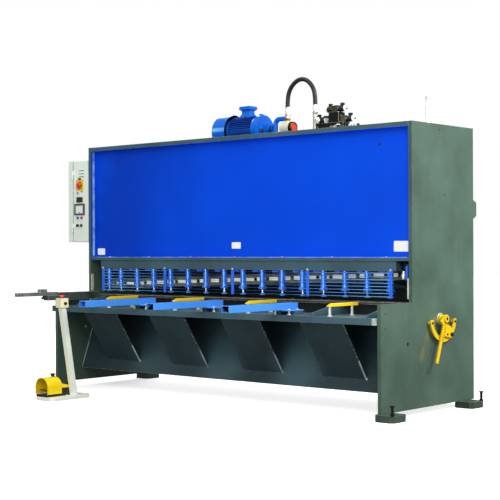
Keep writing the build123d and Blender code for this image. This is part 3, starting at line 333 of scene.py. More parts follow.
@dataclass(frozen=True)
class GroundSteel:
    """Ground or rolled steel with grinding lines and oil stains."""

    name: str
    colour: str
    stain: str
    roughness: float = 0.3
    stains: float = 0.5
    lines: Point = (0.4, 8.0, 60.0)
    metallic: float = 1.0

    def make(self) -> bpy.types.Material:
        """Makes the material."""
        bench = MaterialBench(self.name, self.roughness, self.metallic)
        lines = bench.noise(30.0, 4.0, self.lines)
        base = bench.mixed(bench.spread(lines, 0.35, 0.65, 0.0, 0.35), self.colour, self.stain)
        patches = bench.spread(bench.noise(7.0, 6.0), 0.45, 0.62, 0.0, self.stains)
        base = bench.mixed(patches, base, self.stain)
        drops = bench.spread(bench.noise(55.0, 3.0), 0.64, 0.7, 0.0, 0.6 * self.stains)
        base = bench.mixed(drops, base, self.stain)
        edges = bench.spread(bench.noise(40.0, 3.0), 0.4, 0.6, 0.3, 0.8)
        base = bench.mixed(bench.times(bench.worn_edges(), edges), base, "d6d6cf")
        rough = bench.spread(bench.noise(11.0, 5.0), 0.3, 0.7, self.roughness - 0.1, self.roughness + 0.2)
        bench.relief(lines, 0.0001, 0.5)
        return bench.finish(base, rough)


@dataclass(frozen=True)
class Moulding:
    """Moulded plastic or rubber with a fine grain and light scuffs."""

    name: str
    colour: str
    scuff: str
    roughness: float = 0.45
    grain: float = 0.00015
    sheen: float = 0.0
    subsurface: float = 0.0
    # Emission on a part that is no lamp: painted light.
    glow: float = 0.0

    def make(self) -> bpy.types.Material:
        """Makes the material."""
        bench = MaterialBench(self.name, self.roughness)
        bench.shader.inputs["Subsurface Weight"].default_value = self.subsurface
        bench.shader.inputs["Sheen Weight"].default_value = self.sheen
        bench.shader.inputs["Emission Color"].default_value = (1.0, 1.0, 1.0, 1.0)
        bench.shader.inputs["Emission Strength"].default_value = self.glow
        tone = bench.spread(bench.noise(9.0, 4.0), 0.35, 0.7, 0.0, 0.3)
        base = bench.mixed(tone, self.colour, self.scuff)
        marks = bench.spread(bench.noise(38.0, 5.0, (1, 1, 4)), 0.6, 0.72, 0.0, 0.5)
        base = bench.mixed(marks, base, self.scuff)
        base = bench.mixed(bench.spread(bench.worn_edges(), 0.0, 1.0, 0.0, 0.3), base, self.scuff)
        rough = bench.spread(bench.noise(16.0, 4.0), 0.3, 0.7, self.roughness - 0.08, self.roughness + 0.1)
        bench.relief(bench.noise(520.0, 2.0), self.grain, 0.6)
        return bench.finish(base, rough)


@dataclass(frozen=True)
class PaleFloor:
    """Plain pale studio floor that throws little light back up."""

    name: str = "studio_floor"
    glow: float = 0.6

    def make(self) -> bpy.types.Material:
        """Makes the material."""
        bench = MaterialBench(self.name, 0.85)
        seen = bench.add("ShaderNodeLightPath").outputs["Is Camera Ray"]
        bench.shader.inputs["Specular IOR Level"].default_value = 0.1
        bench.shader.inputs["Emission Color"].default_value = (1.0, 1.0, 1.0, 1.0)
        reach = bench.vector_math("DISTANCE", bench.coordinates, (0.0, 0.0, 0.0)).outputs["Value"]
        glow = bench.spread(reach, 3.0, 14.0, self.glow, 1.0)
        bench.tree.links.new(bench.times(seen, glow), bench.shader.inputs["Emission Strength"])
        tone = bench.spread(bench.noise(0.6, 3.0), 0.3, 0.7)
        pale = bench.mixed(tone, "fdfdfc", "f8f8f7")
        return bench.finish(bench.mixed(seen, "8c8c8a", pale))


class Coat(Enum):
    """The finishes that the machine wears."""

    FRAME = Enamel("frame_green_grey", "4a6154", "384a3f", 0.42, 0.55, 0.1)
    SIDE = Enamel("side_plate_green_grey", "4c6557", "32443a", 0.42, 0.75, 0.1, 0.8, "93a89a", strokes=(
        Stroke((1.75, 0.140, 0.703), (1.75, 0.079, 0.669), 0.030, "7f7428", 0.7, 30.0),
        Stroke((1.75, 0.079, 0.669), (1.75, 0.012, 0.584), 0.030, "7a7030", 0.55, 30.0),
        Stroke((1.75, 0.012, 0.584), (1.75, -0.075, 0.414), 0.036, "716c38", 0.5, 26.0),
        Stroke((1.75, 0.070, 0.500), (1.75, 0.009, 0.305), 0.040, "232e28", 0.45, 26.0)))
    SLATE = Enamel("slate_grey_paint", "486670", "2b3d43", 0.4, 0.55, 0.12, strokes=(
        Stroke((1.700, -0.594, 0.672), (1.700, -0.594, 0.722), 0.026, "d2ddd4", 0.85),))
    # Slate paint darkened as painted shade for the chute and aprons under the table. Its strokes are a painted
    # highlight along the aprons' left edge by the side plate, painted highlights on the lower edges of the four apron
    # plates and broad painted pools of light between them.
    APRON = Enamel("apron_painted_shade_and_light", "2e444a", "172428", 0.42, 0.6, 0.08, 0.95, "c4d0ca", strokes=(
        Stroke((-1.72, -0.175, 0.540), (-1.72, -0.300, 0.165), 0.012, "c4d4cc", 0.85, 14.0),
        *(Stroke((x, -0.360, 0.390), (x, -0.271, 0.252), 0.011, "d4e0d8", 0.95, 10.0) for x in (-1.0, -0.2, 0.6, 1.4)),
        *(Stroke((x, -0.250, 0.270), (x + 0.1, -0.190, 0.430), 0.300, "4a6870", 0.6, 1.0)
          for x in (-0.85, -0.05, 0.75))))
    # Near-black copy of the beam paint: painted shade for parts in shadow behind the guard, under the table and at the
    # rear.
    HIDDEN = Enamel("beam_paint_painted_shade", "1f2827", "0e1413", 0.5, 0.6, 0.1)
    # Cover paint. The first stroke is painted shade over the cover's left part, darkest at its left end; the second a
    # painted highlight on the inner face of the left tray wall; the third a painted highlight line along the bottom
    # flange.
    PANEL = Enamel("panel_blue_paint", "034fe8", "023dc4", 0.36, 0.35, 0.02, 0.3, "5b86ff", 0.00006, 0.0, 0.1, strokes=(
        Stroke((-1.90, -0.135, 2.150), (-1.90, -0.135, 1.500), 1.600, "0236b4", 0.7, 1.5),
        Stroke((-1.715, -0.161, 1.170), (-1.715, -0.161, 2.085), 0.018, "a4d8f0", 0.9, 14.0),
        Stroke((-1.70, -0.188, 1.147), (1.70, -0.188, 1.147), 0.008, "8cc0ff", 0.9, 14.0)))
    ARM = Enamel("arm_light_blue_paint", "4595f0", "2e74cf", 0.34, 0.35, 0.06, 0.35, "b9d6ff")
    GUARD = Enamel("guard_blue_paint", "1f74ff", "0a35c8", 0.2, 0.35, 0.04, 0.45, "b8dcff", 0.00008, 0.7, 0.5)
    COLUMN = Enamel("hold_down_blue_paint", "1c84ff", "0446c8", 0.16, 0.35, 0.04, 0.4, "b8e4ff", 0.00005, 0.8, 0.8, 0.4)
    ROD = Enamel("guard_rod_blue_paint", "6eb4ff", "3c84f4", 0.3, 0.3, 0.02, 0.3, "b8dcff", 0.00005, 0.5, 0.3)
    # Motor paint. Its strokes are painted highlights: two light bands along the fan cover, a light patch on the body by
    # the flange and one by the terminal box.
    MOTOR = Enamel("motor_blue_paint", "006ade", "003c9c", 0.22, 0.4, 0.03, 0.35, "9cd8ff", 0.0001, 0.35, 0.2, strokes=(
        Stroke((-0.432, 0.096, 2.330), (-0.288, 0.096, 2.330), 0.022, "a4e0ff", 0.9, 3.0),
        Stroke((-0.425, 0.027, 2.222), (-0.288, 0.027, 2.222), 0.022, "8cd0ff", 0.8, 3.0),
        Stroke((-0.062, 0.075, 2.280), (-0.012, 0.075, 2.280), 0.026, "8cd0ff", 0.7, 3.0),
        Stroke((-0.137, 0.093, 2.405), (-0.080, 0.100, 2.330), 0.024, "8cd0ff", 0.5, 3.0)))
    # Motor paint darkened as painted shade, for the fins and the floor of the end shield's recess.
    SHADED_MOTOR_PAINT = Enamel("motor_paint_painted_shade", "053a9c", "021a58", 0.35, 0.5, 0.03, 0.35, "5f9fe8", 0.0002)
    FEET = Enamel("foot_dark_paint", "43554b", "1b2420", 0.45, 0.9, 0.1, 0.95, "a9b8ab", 0.0003)
    SQUARING = GroundSteel("squaring_arm_steel", "59635a", "2a302b", 0.4, 0.6, (30.0, 0.6, 30.0), 0.4)
    RAIL = Enamel("rail_yellow_paint", "ffd400", "cc9500", 0.34, 0.4, 0.02, 0.5, "f6dc8a", 0.0001, 0.0, 0.15)
    LEVER = Enamel("lever_yellow_paint", "f2cc00", "a87f00", 0.24, 0.55, 0.0, 0.5, "fff6a0", 0.0002, 0.1, 0.25, strokes=(
        Stroke((1.782, 0.045, 0.640), (1.782, 0.150, 0.535), 0.024, "6e4c00", 0.6, 60.0),
        Stroke((1.799, 0.178, 0.650), (1.799, 0.120, 0.470), 0.020, "8a6200", 0.5, 50.0)))
    CABINET = Enamel("cabinet_light_grey", "f4fff4", "d6e4d6", 0.45, 0.3, 0.05, 0.25, "f3f5ee", 0.0002, strokes=(
        Stroke((-1.961, COVER, 1.290), (-1.961, COVER, 2.018), 0.0055, "3c4c42", 0.95),))
    STAND = Enamel("stand_cream_paint", "f6fbea", "ccd4be", 0.42, 0.35, 0.05, 0.3, "f6f8ee")
    CANISTER = Enamel("canister_cream_paint", "dcddc8", "a9a98e", 0.35, 0.35, 0.05, 0.3, "fbfbf4")
    TABLE = GroundSteel("table_oiled_steel", "4d4f42", "1d1e18", 0.36, 0.75, (0.6, 14.0, 20.0), 0.6)
    BLADE = GroundSteel("blade_ground_steel", "9fa870", "333a1c", 0.32, 0.75, (0.6, 14.0, 40.0), 0.55)
    # Glowing white for thin sheets over the blade's lands: a painted reflection of the studio in the ground steel.
    SEGMENT = Moulding("blade_land_painted_reflection", "fbfdee", "dde2c6", 0.3, 0.00004, glow=0.25)
    SCALE = GroundSteel("scale_bar_steel", "a9aea2", "6d7065", 0.38, 0.5, (30.0, 0.6, 30.0), 0.8)
    ZINC = GroundSteel("zinc_plated_steel", "e6e8e2", "a2a59c", 0.28, 0.3, (8.0, 8.0, 8.0), 0.5)
    CHROME = GroundSteel("bright_fitting_steel", "f4f6f2", "9aa098", 0.14, 0.25, (20.0, 20.0, 2.0))
    BRASS = GroundSteel("brass_fitting", "c08a2c", "4f3a10", 0.3, 0.5, (20.0, 20.0, 20.0))
    OLIVE = GroundSteel("valve_phosphated_steel", "6f7358", "22241a", 0.3, 0.6, (16.0, 16.0, 16.0), 0.85)
    BLACKED = GroundSteel("blacked_screw_steel", "1a1b19", "080807", 0.42, 0.4, (8.0, 8.0, 8.0), 0.7)
    BLACK = Moulding("black_plastic", "0f1113", "2c3032", 0.4)
    RUBBER = Moulding("hose_black_rubber", "050605", "121412", 0.5, 0.0003, 0.05)
    RED = Moulding("red_plastic", "e01208", "9c0a05", 0.28, 0.00005)
    BLUE = Moulding("blue_button_plastic", "1e72ff", "0d3fb0", 0.28, 0.00005)
    SAFETY_YELLOW = Moulding("safety_yellow_plastic", "ffe000", "e0a400", 0.36, 0.0001, 0.0, 0.05)
    PLATE_YELLOW = Moulding("switch_plate_yellow", "f9d300", "c79b00", 0.35, 0.00006)
    BOX_CREAM = Moulding("stop_box_cream", "f6efc6", "cbb97c", 0.4)
    WHITE = Moulding("label_white", "fdfdf8", "e2e4da", 0.4, 0.00004)
    # Label film that glows a little: painted light that brightens it.
    GLOWING_LABEL = Moulding("label_film_painted_glow", "f4f5e8", "dfe2d2", 0.4, 0.00004, glow=0.12)
    SCREEN = Moulding("display_glass", "f2f6f2", "d2d9d2", 0.12, 0.00002)
    BEZEL = Moulding("display_bezel", "3c4a52", "56646c", 0.4, 0.00008)
    DARK_GLASS = Moulding("counter_glass", "10180f", "243022", 0.1, 0.00002)
    FLOOR = PaleFloor()

    @property
    def material(self) -> bpy.types.Material:
        """The finish as a material, made once."""
        made = bpy.data.materials.get(self.value.name)
        return made if made is not None else self.value.make()


# Workshop tools


class Axis(Enum):
    """Direction of a turned or extruded shape, as its right handed frame."""

    X = ((0, 1, 0), (0, 0, 1), (1, 0, 0))
    Y = ((0, 0, 1), (1, 0, 0), (0, 1, 0))
    Z = ((1, 0, 0), (0, 1, 0), (0, 0, 1))

    def place(self, across: float, up: float, along: float) -> Vector:
        """Gives a point from its places across, up and along the axis."""
        first, second, third = (Vector(v) for v in self.value)
        return first * across + second * up + third * along


class Workpiece:
    """One mesh under way, with a finish for each of its surfaces."""

    def __init__(self, name: str, coat: Coat) -> None:
        """Starts an empty piece.

        Args:
            name: Name of the piece.
            coat: Finish of the faces added first.
        """
        self.name = name
        self.mesh = bmesh.new()
        self.worn = self.mesh.faces.layers.float.new("worn")
        self.coats: list[Coat] = []
        self.index = 0
        self.use(coat)

    def use(self, coat: Coat) -> "Workpiece":
        """Gives the faces added from here on a finish."""
        if coat not in self.coats:
            self.coats.append(coat)
        self.index = self.coats.index(coat)
        return self

    def _face(self, corners: Sequence[bmesh.types.BMVert]) -> bmesh.types.BMFace:
        """Adds one face in the current finish."""
        face = self.mesh.faces.new(corners)
        face.material_index = self.index
        return face

    def _break_edges(self, edges: Iterable[bmesh.types.BMEdge], width: float, segments: int = 2) -> None:
        """Bevels sharp edges and marks the new faces as worn."""
        sharp = [e for e in edges if e.is_valid and len(e.link_faces) == 2 and e.calc_face_angle(0.0) > 0.5]
        made = bmesh.ops.bevel(self.mesh, geom=sharp, offset=width, segments=segments, profile=0.5,
                               affect="EDGES", clamp_overlap=True)
        for face in made["faces"]:
            face[self.worn] = 1.0

    def block(self, low: Point, high: Point, bevel: float = 0.0015) -> None:
        """Adds a block with broken edges between two corners."""
        corners = [
            self.mesh.verts.new((x, y, z))
            for x in (low[0], high[0]) for y in (low[1], high[1]) for z in (low[2], high[2])
        ]
        sides = ((0, 1, 3, 2), (4, 6, 7, 5), (0, 4, 5, 1), (2, 3, 7, 6), (0, 2, 6, 4), (1, 5, 7, 3))
        faces = [self._face([corners[i] for i in side]) for side in sides]
        if bevel:
            self._break_edges({e for f in faces for e in f.edges}, bevel)

    def prism(self, outline: Outline, axis: Axis, start: float, depth: float, bevel: float = 0.0015) -> None:
        """Adds an extruded outline with broken edges.

        Args:
            outline: Corners across and up, counter clockwise seen against the axis.
            axis: Direction of the extrusion.
            start: Place of the first end along the axis.
            depth: Length of the extrusion.
            bevel: Width of the broken edges.
        """
        ends = [[self.mesh.verts.new(axis.place(u, v, w)) for u, v in outline] for w in (start, start + depth)]
        count = len(outline)
        faces = [self._face(ends[0][::-1]), self._face(ends[1])]
        for i in range(count):
            j = (i + 1) % count
            faces.append(self._face([ends[0][i], ends[0][j], ends[1][j], ends[1][i]]))
        bmesh.ops.recalc_face_normals(self.mesh, faces=faces)
        if bevel:
            self._break_edges({e for f in faces for e in f.edges}, bevel)

    def turned(self, profile: Outline, base: Point, axis: Axis = Axis.Z, sides: int = 32) -> None:
        """Adds a shape turned about an axis.

        Args:
            profile: Radius and place along the axis; the ends close on the axis.
            base: Point on the axis that the places start from.
            axis: Direction of the axis.
            sides: Number of faces around.
        """
        origin = Vector(base)
        rings: list[list[bmesh.types.BMVert]] = []
        for radius, along in profile:
            if radius < 1e-6:
                rings.append([self.mesh.verts.new(origin + axis.place(0, 0, along))])
                continue
            turns = [2 * math.pi * i / sides for i in range(sides)]
            rings.append([
                self.mesh.verts.new(origin + axis.place(radius * math.cos(t), radius * math.sin(t), along))
                for t in turns
            ])
        faces = []
        for low, high in zip(rings, rings[1:]):
            for i in range(sides):
                j = (i + 1) % sides
                if len(low) == 1 and len(high) > 1:
                    faces.append(self._face([low[0], high[j], high[i]]))
                elif len(high) == 1 and len(low) > 1:
                    faces.append(self._face([low[i], low[j], high[0]]))
                elif len(low) > 1:
                    faces.append(self._face([low[i], low[j], high[j], high[i]]))
        bmesh.ops.recalc_face_normals(self.mesh, faces=faces)

    def pipe(self, points: Sequence[Point], radius: float, sides: int = 16) -> None:
        """Adds a closed ended round bar through points, mitred at its corners."""
        places = [Vector(p) for p in points]
        rings = []
        side = Vector((0, 0, 1))
        for i, place in enumerate(places):
            before = (place - places[i - 1]).normalized() if i else None
            after = (places[i + 1] - place).normalized() if i + 1 < len(places) else None
            way = ((before or after) + (after or before)).normalized()
            if abs(way.dot(side)) > 0.95:
                side = Vector((1, 0, 0))
            first = way.cross(side).normalized()
            second = way.cross(first).normalized()
            side = second
            rings.append([
                self.mesh.verts.new(place + radius * (first * math.cos(t) + second * math.sin(t)))
                for t in (2 * math.pi * k / sides for k in range(sides))
            ])
        faces = [self._face(rings[0]), self._face(rings[-1][::-1])]
        for low, high in zip(rings, rings[1:]):
            for k in range(sides):
                j = (k + 1) % sides
                faces.append(self._face([low[k], low[j], high[j], high[k]]))
        bmesh.ops.recalc_face_normals(self.mesh, faces=faces)

    def cad(self, node: str, bevel: float, frame: dict) -> None:
        """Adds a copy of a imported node, merged and with broken edges.

        Args:
            node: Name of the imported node.
            bevel: Width of the broken edges.
        """
        start = len(self.mesh.verts)
        self.mesh.from_mesh(frame["nodes"][node].data)
        self.mesh.verts.ensure_lookup_table()
        bmesh.ops.remove_doubles(self.mesh, verts=self.mesh.verts[start:], dist=1e-5)
        self.mesh.verts.ensure_lookup_table()
        fresh = self.mesh.verts[start:]
        edges = {e for v in fresh for e in v.link_edges}
        bmesh.ops.dissolve_limit(self.mesh, angle_limit=0.01, verts=fresh, edges=list(edges))
        self.mesh.verts.ensure_lookup_table()
        fresh = self.mesh.verts[start:]
        for face in {f for v in fresh for f in v.link_faces}:
            face.material_index = self.index
        if bevel:
            self._break_edges({e for v in fresh for e in v.link_edges}, bevel)

    def deliver(self, body: str, slot: str, replaces: Sequence[str] = (), angle: float = 0.6) -> bpy.types.Object:
        """Turns the piece into an object that rides on a body.

        Args:
            body: Name of the CAD body it moves with.
            slot: Material slot of the record; not used.
            replaces: CAD nodes that it stands for.
            angle: Edges sharper than this stay sharp, in radians.

        Returns:
            The object, at the origin.
        """
        data = bpy.data.meshes.new(self.name)
        self.mesh.to_mesh(data)
        self.mesh.free()
        for coat in self.coats:
            data.materials.append(coat.material)
        if "custom_normal" in data.attributes:
            data.attributes.remove(data.attributes["custom_normal"])
        data.shade_smooth()
        data.set_sharp_from_angle(angle=angle)
        item = bpy.data.objects.new(self.name, data)
        bpy.context.scene.collection.objects.link(item)
        weighted = item.modifiers.new("flat_faces", "WEIGHTED_NORMAL")
        weighted.keep_sharp = True
        settle(item)
        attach(item, body)
        if replaces:
            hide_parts(*replaces)
        return item


def settle(item: bpy.types.Object) -> None:
    """Turns an object's modifiers into its own plain mesh.

    Args:
        item: Object whose modifiers are applied and removed.
    """
    graph = bpy.context.evaluated_depsgraph_get()
    graph.update()
    evaluated = item.evaluated_get(graph)
    mesh = bpy.data.meshes.new_from_object(evaluated, preserve_all_data_layers=True, depsgraph=graph)
    item.modifiers.clear()
    item.data = mesh


class Head(Enum):
    """Shape of a repeated small part."""

    HEX = 6
    ROUND = 20


@dataclass
class FastenerRow:
    """Screw heads set at points, all facing one way, made by Geometry Nodes."""

    name: str
    places: Sequence[Point]
    turn: Point
    radius: float
    height: float
    head: Head = Head.HEX
    coat: Coat = Coat.ZINC
    recess: Coat | None = None
    washer: float = 0.0

    def _tree(self) -> bpy.types.NodeTree:
        """Lays out the node tree, with the sizes as its inputs."""
        tree = bpy.data.node_groups.new(f"{self.name}_tree", "GeometryNodeTree")
        face = tree.interface
        face.new_socket("Places", in_out="INPUT", socket_type="NodeSocketGeometry")
        for name in ("Radius", "Height", "Washer"):
            face.new_socket(name, in_out="INPUT", socket_type="NodeSocketFloat")
        face.new_socket("Turn", in_out="INPUT", socket_type="NodeSocketVector")
        face.new_socket("Parts", in_out="OUTPUT", socket_type="NodeSocketGeometry")
        source = tree.nodes.new("NodeGroupInput")
        joined = tree.nodes.new("GeometryNodeJoinGeometry")
        self._disc(tree, source, joined, self.head.value, 1.0, 0.0, 0.78, self.coat)
        self._crown(tree, source, joined)
        if self.washer:
            self._disc(tree, source, joined, 20, self.washer, 0.0, 0.16, self.coat)
        if self.recess is not None:
            self._disc(tree, source, joined, 6, 0.52, 1.0, 0.03, self.recess)
        scatter = tree.nodes.new("GeometryNodeInstanceOnPoints")
        real = tree.nodes.new("GeometryNodeRealizeInstances")
        output = tree.nodes.new("NodeGroupOutput")
        tree.links.new(source.outputs["Places"], scatter.inputs["Points"])
        tree.links.new(joined.outputs["Geometry"], scatter.inputs["Instance"])
        tree.links.new(source.outputs["Turn"], scatter.inputs["Rotation"])
        tree.links.new(scatter.outputs["Instances"], real.inputs["Geometry"])
        tree.links.new(real.outputs["Geometry"], output.inputs["Parts"])
        return tree

    def _scaled(self, tree: bpy.types.NodeTree, value: bpy.types.NodeSocket, factor: float) -> bpy.types.NodeSocket:
        """Multiplies an input of the tree by a factor."""
        node = tree.nodes.new("ShaderNodeMath")
        node.operation = "MULTIPLY"
        node.inputs[1].default_value = factor
        tree.links.new(value, node.inputs[0])
        return node.outputs["Value"]

    def _raised(self, tree: bpy.types.NodeTree, joined: bpy.types.Node, mesh: bpy.types.NodeSocket,
                rise: bpy.types.NodeSocket, coat: Coat) -> None:
        """Lifts a mesh along its axis, gives it a finish and joins it to the rest."""
        vector = tree.nodes.new("ShaderNodeCombineXYZ")
        tree.links.new(rise, vector.inputs["Z"])
        move = tree.nodes.new("GeometryNodeTransform")
        tree.links.new(mesh, move.inputs["Geometry"])
        tree.links.new(vector.outputs["Vector"], move.inputs["Translation"])
        paint = tree.nodes.new("GeometryNodeSetMaterial")
        paint.inputs["Material"].default_value = coat.material
        tree.links.new(move.outputs["Geometry"], paint.inputs["Geometry"])
        tree.links.new(paint.outputs["Geometry"], joined.inputs["Geometry"])

    def _disc(self, tree: bpy.types.NodeTree, source: bpy.types.Node, joined: bpy.types.Node, sides: int,
              width: float, base: float, share: float, coat: Coat) -> None:
        """Adds a round or six sided disc, sized as shares of radius and height."""
        disc = tree.nodes.new("GeometryNodeMeshCylinder")
        disc.inputs["Vertices"].default_value = sides
        tree.links.new(self._scaled(tree, source.outputs["Radius"], width), disc.inputs["Radius"])
        tree.links.new(self._scaled(tree, source.outputs["Height"], share), disc.inputs["Depth"])
        rise = self._scaled(tree, source.outputs["Height"], base + share / 2)
        self._raised(tree, joined, disc.outputs["Mesh"], rise, coat)

    def _crown(self, tree: bpy.types.NodeTree, source: bpy.types.Node, joined: bpy.types.Node) -> None:
        """Adds the chamfered top of the head."""
        cone = tree.nodes.new("GeometryNodeMeshCone")
        cone.inputs["Vertices"].default_value = self.head.value
        tree.links.new(self._scaled(tree, source.outputs["Radius"], 0.8), cone.inputs["Radius Top"])
        tree.links.new(source.outputs["Radius"], cone.inputs["Radius Bottom"])
        tree.links.new(self._scaled(tree, source.outputs["Height"], 0.22), cone.inputs["Depth"])
        rise = self._scaled(tree, source.outputs["Height"], 0.78)
        self._raised(tree, joined, cone.outputs["Mesh"], rise, self.coat)

    def deliver(self, body: str, slot: str) -> bpy.types.Object:
        """Makes the heads and lets them ride on a body.

        Args:
            body: Name of the CAD body.
            slot: Material slot of the record; not used.

        Returns:
            One object with all the heads.
        """
        data = bpy.data.meshes.new(self.name)
        data.from_pydata([tuple(p) for p in self.places], [], [])
        item = bpy.data.objects.new(self.name, data)
        bpy.context.scene.collection.objects.link(item)
        tree = self._tree()
        modifier = item.modifiers.new("repeat", "NODES")
        modifier.node_group = tree
        values = {"Radius": self.radius, "Height": self.height, "Washer": self.washer, "Turn": self.turn}
        for socket in tree.interface.items_tree:
            if socket.in_out == "INPUT" and socket.name in values:
                modifier[socket.identifier] = values[socket.name]
        settle(item)
        item.data.shade_smooth()
        item.data.set_sharp_from_angle(angle=0.6)
        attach(item, body)
        return item


def rounded_plate(up: float, across: float, height: float, width: float, radius: float) -> list:
    """Gives the outline of a plate with rounded corners, for a prism along Y.

    Args:
        up: Height of its centre.
        across: Place of its centre along the machine.
        height: Height of the plate.
        width: Width of the plate.
        radius: Radius of its corners.

    Returns:
        The corners as pairs of up and across.
    """
    corners = []
    for quarter, (sx, sy) in enumerate(((1, 1), (-1, 1), (-1, -1), (1, -1))):
        centre = (up + sx * (height / 2 - radius), across + sy * (width / 2 - radius))
        for step in range(5):
            turn = math.radians(90 * quarter + 22.5 * step)
            corners.append((centre[0] + radius * math.cos(turn), centre[1] + radius * math.sin(turn)))
    return corners


@dataclass
class RingOfFins:
    """Thin fins around an axis along X, made by Geometry Nodes."""

    name: str
    base: Point
    length: float
    radius: float
    reach: float
    thickness: float
    count: int
    coat: Coat

    def _tree(self) -> bpy.types.NodeTree:
        """Lays out the node tree, with count and sizes as its inputs."""
        tree = bpy.data.node_groups.new(f"{self.name}_tree", "GeometryNodeTree")
        face = tree.interface
        face.new_socket("Start", in_out="INPUT", socket_type="NodeSocketGeometry")
        face.new_socket("Count", in_out="INPUT", socket_type="NodeSocketInt")
        face.new_socket("Radius", in_out="INPUT", socket_type="NodeSocketFloat")
        face.new_socket("Fin Size", in_out="INPUT", socket_type="NodeSocketVector")
        face.new_socket("Centre", in_out="INPUT", socket_type="NodeSocketVector")
        face.new_socket("Fins", in_out="OUTPUT", socket_type="NodeSocketGeometry")
        source = tree.nodes.new("NodeGroupInput")
        ring = tree.nodes.new("GeometryNodeMeshCircle")
        tree.links.new(source.outputs["Count"], ring.inputs["Vertices"])
        tree.links.new(source.outputs["Radius"], ring.inputs["Radius"])
        fin = tree.nodes.new("GeometryNodeMeshCube")
        tree.links.new(source.outputs["Fin Size"], fin.inputs["Size"])
        paint = tree.nodes.new("GeometryNodeSetMaterial")
        paint.inputs["Material"].default_value = self.coat.material
        tree.links.new(fin.outputs["Mesh"], paint.inputs["Geometry"])
        aim = tree.nodes.new("FunctionNodeAlignEulerToVector")
        aim.axis = "X"
        tree.links.new(tree.nodes.new("GeometryNodeInputPosition").outputs["Position"], aim.inputs["Vector"])
        scatter = tree.nodes.new("GeometryNodeInstanceOnPoints")
        tree.links.new(ring.outputs["Mesh"], scatter.inputs["Points"])
        tree.links.new(paint.outputs["Geometry"], scatter.inputs["Instance"])
        tree.links.new(aim.outputs["Rotation"], scatter.inputs["Rotation"])
        real = tree.nodes.new("GeometryNodeRealizeInstances")
        tree.links.new(scatter.outputs["Instances"], real.inputs["Geometry"])
        turn = tree.nodes.new("GeometryNodeTransform")
        turn.inputs["Rotation"].default_value = (0.0, math.pi / 2, 0.0)
        tree.links.new(real.outputs["Geometry"], turn.inputs["Geometry"])
        tree.links.new(source.outputs["Centre"], turn.inputs["Translation"])
        output = tree.nodes.new("NodeGroupOutput")
        tree.links.new(turn.outputs["Geometry"], output.inputs["Fins"])
        return tree

    def deliver(self, body: str, slot: str) -> bpy.types.Object:
        """Makes the fins and lets them ride on a body.

        Args:
            body: Name of the CAD body.
            slot: Material slot of the record; not used.

        Returns:
            One object with all the fins.
        """
        item = bpy.data.objects.new(self.name, bpy.data.meshes.new(self.name))
        bpy.context.scene.collection.objects.link(item)
        tree = self._tree()
        modifier = item.modifiers.new("ring", "NODES")
        modifier.node_group = tree
        centre = (self.base[0] + self.length / 2, self.base[1], self.base[2])
        values = {"Count": self.count, "Radius": self.radius + self.reach / 2, "Centre": centre,
                  "Fin Size": (self.reach, self.thickness, self.length)}
        for socket in tree.interface.items_tree:
            if socket.in_out == "INPUT" and socket.name in values:
                modifier[socket.identifier] = values[socket.name]
        settle(item)
        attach(item, body)
        return item


UP: Point = (0.0, 0.0, 0.0)
DOWN: Point = (math.pi, 0.0, 0.0)
FORWARD: Point = (math.pi / 2, 0.0, 0.0)
REARWARD: Point = (-math.pi / 2, 0.0, 0.0)
RIGHT: Point = (0.0, math.pi / 2, 0.0)
LEFT: Point = (0.0, -math.pi / 2, 0.0)


class SubAssembly:
    """A group of pieces that is built in one go."""

    def build(self, frame: dict) -> None:
        """Builds the pieces.
        """
        raise NotImplementedError

    def paint(self, frame: dict, coats: dict[str, Coat]) -> None:
        """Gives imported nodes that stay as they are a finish.

        Args:
            coats: Finish of each node.
        """
        for node, coat in coats.items():
            materials = frame["nodes"][node].data.materials
            materials.clear()
            materials.append(coat.material)

    def dress(self, frame: dict, node: str, coat: Coat, body: str, slot: str, bevel: float = 0.002) -> None:
        """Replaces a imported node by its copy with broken, worn edges."""
        piece = Workpiece(f"dressed_{node}", coat)
        piece.cad(node, bevel, frame)
        piece.deliver(body, slot, [node])


# The machine


@dataclass
class Frame(SubAssembly):
    """Side plates, feet, levelling screws and pivot pins."""

    pivot_y: float = 0.580
    pivot_z: float = TABLE + 0.130

    def build(self, frame: dict) -> None:
        """Builds the pieces."""
        self.dress(frame, "side_frame_left", Coat.FRAME, MACHINE, "frame_paint", 0.0025)
        self.dress(frame, "side_frame_right", Coat.SIDE, MACHINE, "frame_paint", 0.0025)
        self.dress(frame, "floor_feet", Coat.FEET, MACHINE, "beam_paint", 0.004)
        # The rear cross tube is painted near-black as painted shade.
        self.paint(frame, {"levelling_screws": Coat.BLACKED, "rear_brackets": Coat.FRAME,
                           "rear_cross_tube": Coat.HIDDEN})
        self.pivot_pins()
        # Near-black, as painted shade.
        flat = Workpiece("rear_tube_flat", Coat.HIDDEN)
        flat.block((-1.718, 0.626, 0.877), (1.718, 0.640, 0.900), 0.001)
        flat.deliver(MACHINE, "beam_paint")

    def pivot_pins(self) -> None:
        """Turns the two shouldered pins that the swing beam hangs on."""
        piece = Workpiece("turned_pivot_pins", Coat.ZINC)
        for side in (-1, 1):
            profile = [(0.0, side * 1.635), (0.0325, side * 1.635), (0.0345, side * 1.637), (0.0345, side * 1.708),
                       (0.060, side * 1.708), (0.062, side * 1.710), (0.062, side * 1.720), (0.0, side * 1.720)]
            piece.turned(profile, (0.0, self.pivot_y, self.pivot_z), Axis.X, 64)
        piece.deliver(MACHINE, "zinc_steel", ["pivot_pins"])


